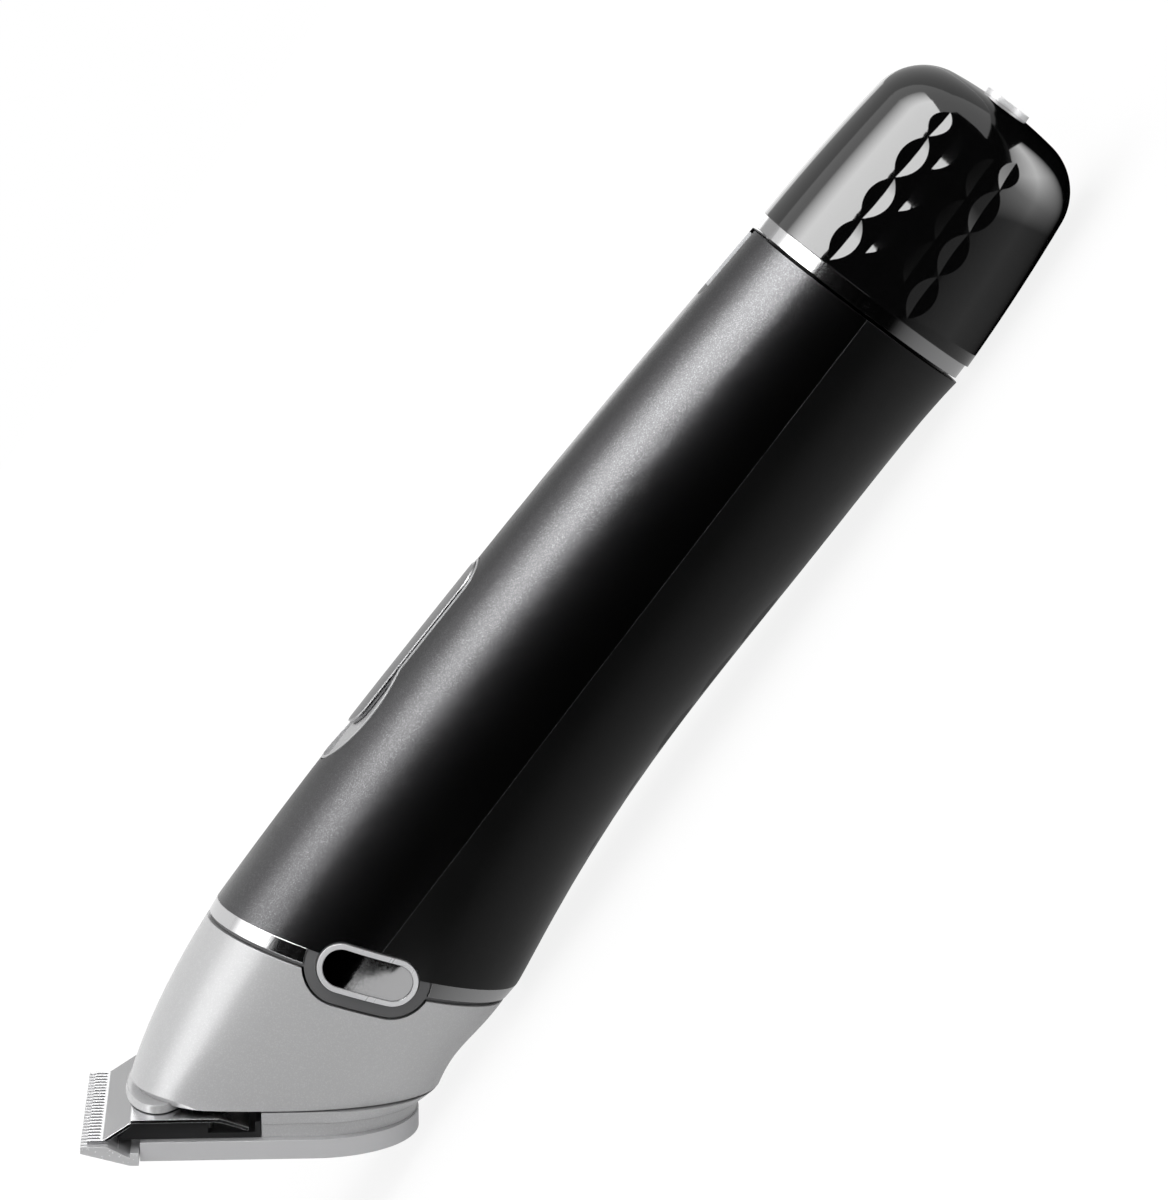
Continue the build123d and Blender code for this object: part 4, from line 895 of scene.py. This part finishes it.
@dataclass
class Electronics:
    """Small parts soldered on the circuit board."""

    middle: Triple = (0.0225, 0.0, 0.0236)
    length: float = 0.03
    width: float = 0.0115
    columns: int = 10
    rows: int = 5
    share: float = 0.72
    part_length: float = 0.0016
    part_width: float = 0.0009
    part_height: float = 0.0006
    seed: int = 7
    wall_share: float = 0.75
    top_scale: float = 0.8
    upward: float = 0.5
    joint_length: float = 0.35
    joint_width: float = 1.15
    joint_height: float = 0.6
    title: ClassVar[str] = "electronics"

    def field(self, tree: NodeMesh, part: bpy.types.NodeSocket) -> bpy.types.NodeSocket:
        """Place a part at some of the board's grid points.

        Args:
            tree: The tree to fill.
            part: Socket with the part's shape.

        Returns:
            Socket with all the parts.
        """
        graph, given = tree.graph, tree.given
        grid = graph.add("GeometryNodeMeshGrid", {"Size X": given["Length"], "Size Y": given["Width"]})
        graph.feed(grid.inputs["Vertices X"], given["Columns"])
        graph.feed(grid.inputs["Vertices Y"], given["Rows"])
        kept = graph.add("FunctionNodeRandomValue", data_type="BOOLEAN")
        graph.feed(kept.inputs["Probability"], given["Share"])
        graph.feed(kept.inputs["Seed"], given["Seed"])
        spots = graph.add("GeometryNodeInstanceOnPoints", {"Points": grid.outputs["Mesh"], "Instance": part})
        graph.feed(spots.inputs["Selection"], kept.outputs[3])
        moved = graph.add("GeometryNodeTransform", {"Geometry": spots.outputs[0]})
        moved.inputs["Translation"].default_value = self.middle
        return moved.outputs[0]

    def block(self, tree: NodeMesh, length: Any, width: Any, height: Any) -> bpy.types.NodeSocket:
        """Make a block with a bevelled top that stands on the board.

        Args:
            tree: The tree to fill.
            length: Its length along the board.
            width: Its width.
            height: Its height.

        Returns:
            Socket with the block.
        """
        graph = tree.graph
        low = graph.math("MULTIPLY", height, self.wall_share)
        cube = graph.add("GeometryNodeMeshCube", {"Size": tree.triple(length, width, low)})
        normal = graph.add("GeometryNodeInputNormal").outputs[0]
        facing = graph.add("ShaderNodeSeparateXYZ", {"Vector": normal}).outputs["Z"]
        compared = {"A": facing, "B": self.upward}
        upper = graph.add("FunctionNodeCompare", compared, operation="GREATER_THAN")
        grown = graph.add("GeometryNodeExtrudeMesh", {"Mesh": cube.outputs["Mesh"]}, mode="FACES")
        graph.feed(grown.inputs["Selection"], upper.outputs[0])
        graph.feed(grown.inputs["Offset Scale"], graph.math("MULTIPLY", height, 1.0 - self.wall_share))
        bevelled = graph.add("GeometryNodeScaleElements", {"Geometry": grown.outputs["Mesh"]})
        graph.feed(bevelled.inputs["Scale"], self.top_scale)
        graph.feed(bevelled.inputs["Selection"], grown.outputs["Top"])
        stood = graph.add("GeometryNodeTransform", {"Geometry": bevelled.outputs[0]})
        graph.feed(stood.inputs["Translation"], tree.triple(0.0, 0.0, graph.math("MULTIPLY", low, 0.5)))
        return stood.outputs[0]

    def inputs(self) -> dict[str, float | int]:
        """Return the inputs that both trees have."""
        return {
            "Length": self.length, "Width": self.width, "Columns": self.columns, "Rows": self.rows,
            "Share": self.share, "Seed": self.seed, "Part Length": self.part_length,
            "Part Width": self.part_width, "Part Height": self.part_height,
        }

    def dress(self) -> None:
        """Build the parts' bodies and their soldered ends."""
        bodies = NodeMesh("board_parts", self.inputs())
        given = bodies.given
        block = self.block(bodies, given["Part Length"], given["Part Width"], given["Part Height"])
        self.keep(bodies.piece(self.field(bodies, block), CHIP_BLACK))
        ends = NodeMesh("board_joints", self.inputs())
        given, graph = ends.given, ends.graph
        size = graph.math("MULTIPLY", given["Part Length"], self.joint_length)
        wide = graph.math("MULTIPLY", given["Part Width"], self.joint_width)
        high = graph.math("MULTIPLY", given["Part Height"], self.joint_height)
        pair = graph.add("GeometryNodeMeshLine", {"Count": 2}, mode="OFFSET", count_mode="TOTAL")
        apart = graph.math("ADD", given["Part Length"], size)
        graph.feed(pair.inputs["Start Location"], ends.triple(graph.math("MULTIPLY", apart, -0.5), 0.0, 0.0))
        graph.feed(pair.inputs["Offset"], ends.triple(apart, 0.0, 0.0))
        both = graph.add("GeometryNodeInstanceOnPoints", {"Points": pair.outputs[0]})
        graph.feed(both.inputs["Instance"], self.block(ends, size, wide, high))
        self.keep(ends.piece(self.field(ends, both.outputs[0]), SOLDER))

    def keep(self, piece: bpy.types.Object) -> None:
        """Let a piece move with the handle.

        Args:
            piece: The finished piece.
        """
        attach(piece, "handle")
        LOG.info("%s: %s with %d faces", self.title, piece.name, len(piece.data.polygons))


@dataclass
class Lamp:
    """A soft box that looks at a point."""

    name: str
    place: Triple
    aim: Triple
    span: Pair
    power: float

    def build(self) -> None:
        """Make the lamp and turn it to its aim."""
        light = bpy.data.lights.new(self.name, "AREA")
        light.shape = "RECTANGLE"
        light.size, light.size_y = self.span
        light.energy = self.power
        lamp = bpy.data.objects.new(self.name, light)
        lamp.visible_glossy = False
        bpy.context.scene.collection.objects.link(lamp)
        lamp.location = self.place
        away = Vector(self.aim) - Vector(self.place)
        lamp.rotation_euler = away.to_track_quat("-Z", "X").to_euler()


@dataclass
class Sheet:
    """A flat stage piece."""

    name: str
    corners: list[Triple]

    def build(self) -> tuple[bpy.types.Object, Graph]:
        """Make the piece.

        Returns:
            The piece and the graph of its empty material.
        """
        mesh = bpy.data.meshes.new(self.name)
        mesh.from_pydata(self.corners, [], [tuple(range(len(self.corners)))])
        piece = bpy.data.objects.new(self.name, mesh)
        bpy.context.scene.collection.objects.link(piece)
        material = bpy.data.materials.new(self.name)
        material.use_nodes = True
        material.node_tree.nodes.remove(material.node_tree.nodes["Principled BSDF"])
        mesh.materials.append(material)
        return piece, Graph(material.node_tree)


@dataclass
class Card(Sheet):
    """A card that only reflections show, whose light changes along Y and fades along X."""

    span: Pair = (0.0, 1.0)
    glow: Pair = (0.0, 0.0)
    run: Pair = (0.0, 1.0)
    fade: Pair = (1.0, 1.0)

    def build(self) -> tuple[bpy.types.Object, Graph]:
        """Make the card and hide it from all but reflections.

        Returns:
            The card and the graph of its material.
        """
        piece, graph = super().build()
        parts = graph.place_parts()
        across = graph.spread(parts["Y"], *self.glow, *self.span)
        along = graph.spread(parts["X"], *self.fade, *self.run)
        light = graph.add("ShaderNodeEmission", {"Strength": graph.math("MULTIPLY", across, along)})
        graph.feed(graph.tree.nodes["Material Output"].inputs["Surface"], light.outputs[0])
        for rays in ("camera", "diffuse", "shadow", "transmission"):
            setattr(piece, f"visible_{rays}", False)
        return piece, graph


@dataclass
class Studio:
    """White surroundings, soft boxes, cards and the camera.

    Angles are in degrees, lengths in metres, the lens and its sensor in millimetres and powers in watts.
    A card's glow is its light at both ends of its span, and its fade is the share of that light at both ends
    of its run.
    """

    azimuth: float = 6.0813
    elevation: float = 7.8305
    roll: float = -55.0889
    distance: float = 0.7
    lens: float = 176.197
    sensor: float = 36.0
    clip: Pair = (0.05, 20.0)
    aim: Triple = (0.00426, 0.0, 0.02086)
    floor_half: float = 2.0
    floor_low: float = -0.0002
    floor_matt: Colour = (0.8, 0.8, 0.8)
    floor_dim: Colour = (0.15, 0.15, 0.15)
    floor_glow: Pair = (0.86, 1.0)
    floor_fade: Pair = (0.1, 0.5)
    floor_light: float = 0.25
    world_light: float = 0.35
    key_angle: float = 87.0
    key_half_angle: float = 21.0
    key_distance: float = 0.62
    key_half_length: float = 0.6
    key_power: float = 3.8
    key_glow: Pair = (7.5, 1.5)
    # near edge of the large soft box's card: places along the handle and shares of the card's reach
    key_edge: tuple[Pair, ...] = (
        (-0.6, -1.0), (-0.155, -1.0), (-0.155, -0.5), (0.033, -0.75), (0.033, -1.35), (0.6, -1.8),
    )
    key_run: Pair = (-0.14, 0.03)
    key_fade: Pair = (0.42, 1.05)
    fill_place: Triple = (0.0, -0.6, 0.06)
    fill_span: Pair = (0.8, 0.1)
    fill_power: float = 1.35
    flag_far: float = 1.3
    flag_height: float = 1.1
    flag_lean: float = 0.75
    back_far: float = 0.6
    back_height: float = 0.9
    back_start: float = -0.15
    back_glow: float = 0.5
    teeth_far: float = 0.59
    teeth_ends: Pair = (-0.03, 0.13)
    teeth_heights: Pair = (0.03, 0.24)
    teeth_glow: float = 1.5
    ground_low: float = -0.0001
    ground_span: Pair = (-0.034, 0.0)
    ground_glow: Pair = (0.0, 0.45)
    ground_far: float = 0.5
    # outline, on the floor, of the card that the near button mirrors
    button_card: tuple[Pair, ...] = (
        (-0.18, -0.745), (-0.0746, -0.175), (-0.0605, -0.1017), (-0.0509, -0.0568), (-0.0437, -0.03),
        (-0.0487, -0.022), (-0.066, -0.11), (-0.151, -0.566),
    )
    button_glow: float = 0.75
    # cards under the cap: ends of the bright ones, far end of the dark one, and then the edges across
    cap_ends: Triple = (0.055, 0.11, 0.35)
    cap_sides: tuple[float, float, float, float] = (-0.026, -0.012, -0.003, 0.12)
    cap_glow: Triple = (2.5, 5.3, 0.0)
    cap_run: Pair = (0.0715, 0.083)
    cap_fade: Pair = (0.06, 1.0)

    def camera(self) -> None:
        """Put the camera where the photograph was taken from."""
        turn, lift, roll = (math.radians(value) for value in (self.azimuth, self.elevation, self.roll))
        back = Vector((math.sin(turn) * math.cos(lift), -math.cos(turn) * math.cos(lift), math.sin(lift)))
        level = Vector((math.cos(turn), math.sin(turn), 0.0))
        upright = back.cross(level)
        right = math.cos(roll) * level + math.sin(roll) * upright
        above = math.cos(roll) * upright - math.sin(roll) * level
        lens = bpy.data.cameras.new("camera")
        lens.lens = self.lens
        lens.sensor_width = self.sensor
        lens.clip_start, lens.clip_end = self.clip
        view = bpy.data.objects.new("camera", lens)
        bpy.context.scene.collection.objects.link(view)
        turned = Matrix((right, above, back)).transposed().to_4x4()
        view.matrix_world = Matrix.Translation(Vector(self.aim) + self.distance * back) @ turned
        bpy.context.scene.camera = view

    def seen(self, graph: Graph) -> bpy.types.NodeSocket:
        """Tell camera, mirror and see-through rays from light that spreads.

        Args:
            graph: Graph of the world or of the floor's material.

        Returns:
            Socket that is 1 for those rays.
        """
        path = graph.add("ShaderNodeLightPath").outputs
        shown = graph.math("MAXIMUM", path["Is Camera Ray"], path["Is Glossy Ray"])
        return graph.math("MAXIMUM", shown, path["Is Transmission Ray"])

    def world(self) -> None:
        """Make the white surroundings."""
        world = bpy.data.worlds.new("surroundings")
        world.use_nodes = True
        graph = Graph(world.node_tree)
        shown = graph.spread(self.seen(graph), self.world_light, 1.0)
        sky = world.node_tree.nodes["Background"]
        sky.inputs["Color"].default_value = WHITE
        graph.feed(sky.inputs["Strength"], shown)
        bpy.context.scene.world = world

    def lit(self, graph: Graph, colour: Colour, glow: Any) -> bpy.types.NodeSocket:
        """Add a matt surface that also gives light.

        Args:
            graph: Graph of the surface's material.
            colour: Colour of the matt surface.
            glow: Value or socket with the strength of its light.

        Returns:
            The shader's socket.
        """
        matt = graph.add("ShaderNodeBsdfDiffuse", {"Color": (*colour, 1.0)})
        light = graph.add("ShaderNodeEmission", {"Strength": glow})
        both = graph.add("ShaderNodeAddShader")
        graph.feed(both.inputs[0], matt.outputs[0])
        graph.feed(both.inputs[1], light.outputs[0])
        return both.outputs[0]

    def floor(self) -> None:
        """Make the pale floor under the clipper, with a faint shadow on it."""
        half, low = self.floor_half, self.floor_low
        corners = [(-half, -half, low), (half, -half, low), (half, half, low), (-half, half, low)]
        _, graph = Sheet("floor", corners).build()
        place = graph.place()
        away = graph.add("ShaderNodeVectorMath", operation="LENGTH")
        graph.feed(away.inputs[0], place)
        fade = graph.spread(away.outputs["Value"], *self.floor_glow, *self.floor_fade)
        plain = self.lit(graph, self.floor_matt, self.floor_light)
        white = self.lit(graph, self.floor_dim, fade)
        both = graph.add("ShaderNodeMixShader", {"Fac": self.seen(graph)})
        graph.feed(both.inputs[1], plain)
        graph.feed(both.inputs[2], white)
        graph.feed(graph.tree.nodes["Material Output"].inputs["Surface"], both.outputs[0])

    def key(self) -> None:
        """Make the soft boxes, and the card that stands for the large one in reflections."""
        angle = math.radians(self.key_angle)
        out = Vector((0, -math.cos(angle), math.sin(angle)))
        along = Vector((0, math.sin(angle), math.cos(angle)))
        middle = Vector(self.aim) + self.key_distance * out
        reach = self.key_distance * math.tan(math.radians(self.key_half_angle))
        ends = self.key_edge + ((self.key_half_length, 1.0), (-self.key_half_length, 1.0))
        corners = [middle + Vector((place, 0, 0)) + share * reach * along for place, share in ends]
        rise = (middle.y, middle.y + reach)
        Card("key_card", corners, rise, self.key_glow, self.key_run, self.key_fade).build()
        Lamp("key_box", middle, self.aim, (2 * self.key_half_length, 2 * reach), self.key_power).build()
        Lamp("fill_box", self.fill_place, self.aim, self.fill_span, self.fill_power).build()

    def flags(self) -> None:
        """Make the dark and bright cards round the clipper that gloss and metal mirror."""
        half, far, top, lean = self.floor_half, -self.flag_far, self.flag_height, self.flag_lean
        leaning = [(-half, far, 0), (half, far, 0), (half, far + lean, top), (-half, far + lean, top)]
        Card("front_flag", leaning).build()
        ends, heights = (self.back_start, half), (0, self.back_height)
        self.upright("back_flag", self.back_far, ends, heights, self.back_glow)
        self.upright("teeth_card", self.teeth_far, self.teeth_ends, self.teeth_heights, self.teeth_glow)
        low, back = self.ground_low, self.ground_far
        ground = [(-half, back, low), (-half, far, low), (half, far, low), (half, back, low)]
        Card("ground_flag", ground, span=self.ground_span, glow=self.ground_glow).build()
        small = [(along, across, low / 2) for along, across in self.button_card]
        Card("button_card", small, glow=(self.button_glow, self.button_glow)).build()
        self.cap_cards(low / 2)

    def upright(self, name: str, far: float, ends: Pair, heights: Pair, glow: float) -> None:
        """Make an even card that stands behind the clipper.

        Args:
            name: Name of the card.
            far: How far behind it stands.
            ends: Where it starts and ends along the handle.
            heights: Its lower and upper edge.
            glow: Its brightness.
        """
        (start, end), (low, top) = ends, heights
        corners = [(start, far, low), (end, far, low), (end, far, top), (start, far, top)]
        Card(name, corners, glow=(glow, glow)).build()

    def cap_cards(self, height: float) -> None:
        """Make the cards under the cap, bright in front and dark behind.

        Args:
            height: Height that the cards lie at.
        """
        start, end, far = self.cap_ends
        front, middle, back, rear = self.cap_sides
        strips = (("front", front, middle, self.cap_glow[:2]), ("back", middle, back, self.cap_glow[1:]))
        for word, near, away, glow in strips:
            ends = ((start, near), (end, near), (end, away), (start, away))
            corners = [(along, across, height) for along, across in ends]
            Card(f"cap_{word}", corners, (near, away), glow, self.cap_run, self.cap_fade).build()
        dark = ((start, back), (end, back), (end, front), (far, front), (far, rear), (start, rear))
        Card("cap_dark", [(along, across, height) for along, across in dark]).build()

    def build(self) -> None:
        """Make the whole studio."""
        bpy.context.scene.view_settings.view_transform = "Standard"
        self.camera()
        self.world()
        self.floor()
        self.key()
        self.flags()
        LOG.info("studio: camera, floor, soft box and cards")


def main() -> None:
    """Dress the clipper and set up the studio."""
    logging.basicConfig(level=logging.INFO, format="%(name)s: %(message)s")
    for assembly in (Handle(), Switch(), Buttons(), Head(), Works(), Electronics()):
        assembly.dress()
    Studio().build()


if __name__ == "__main__":
    main()
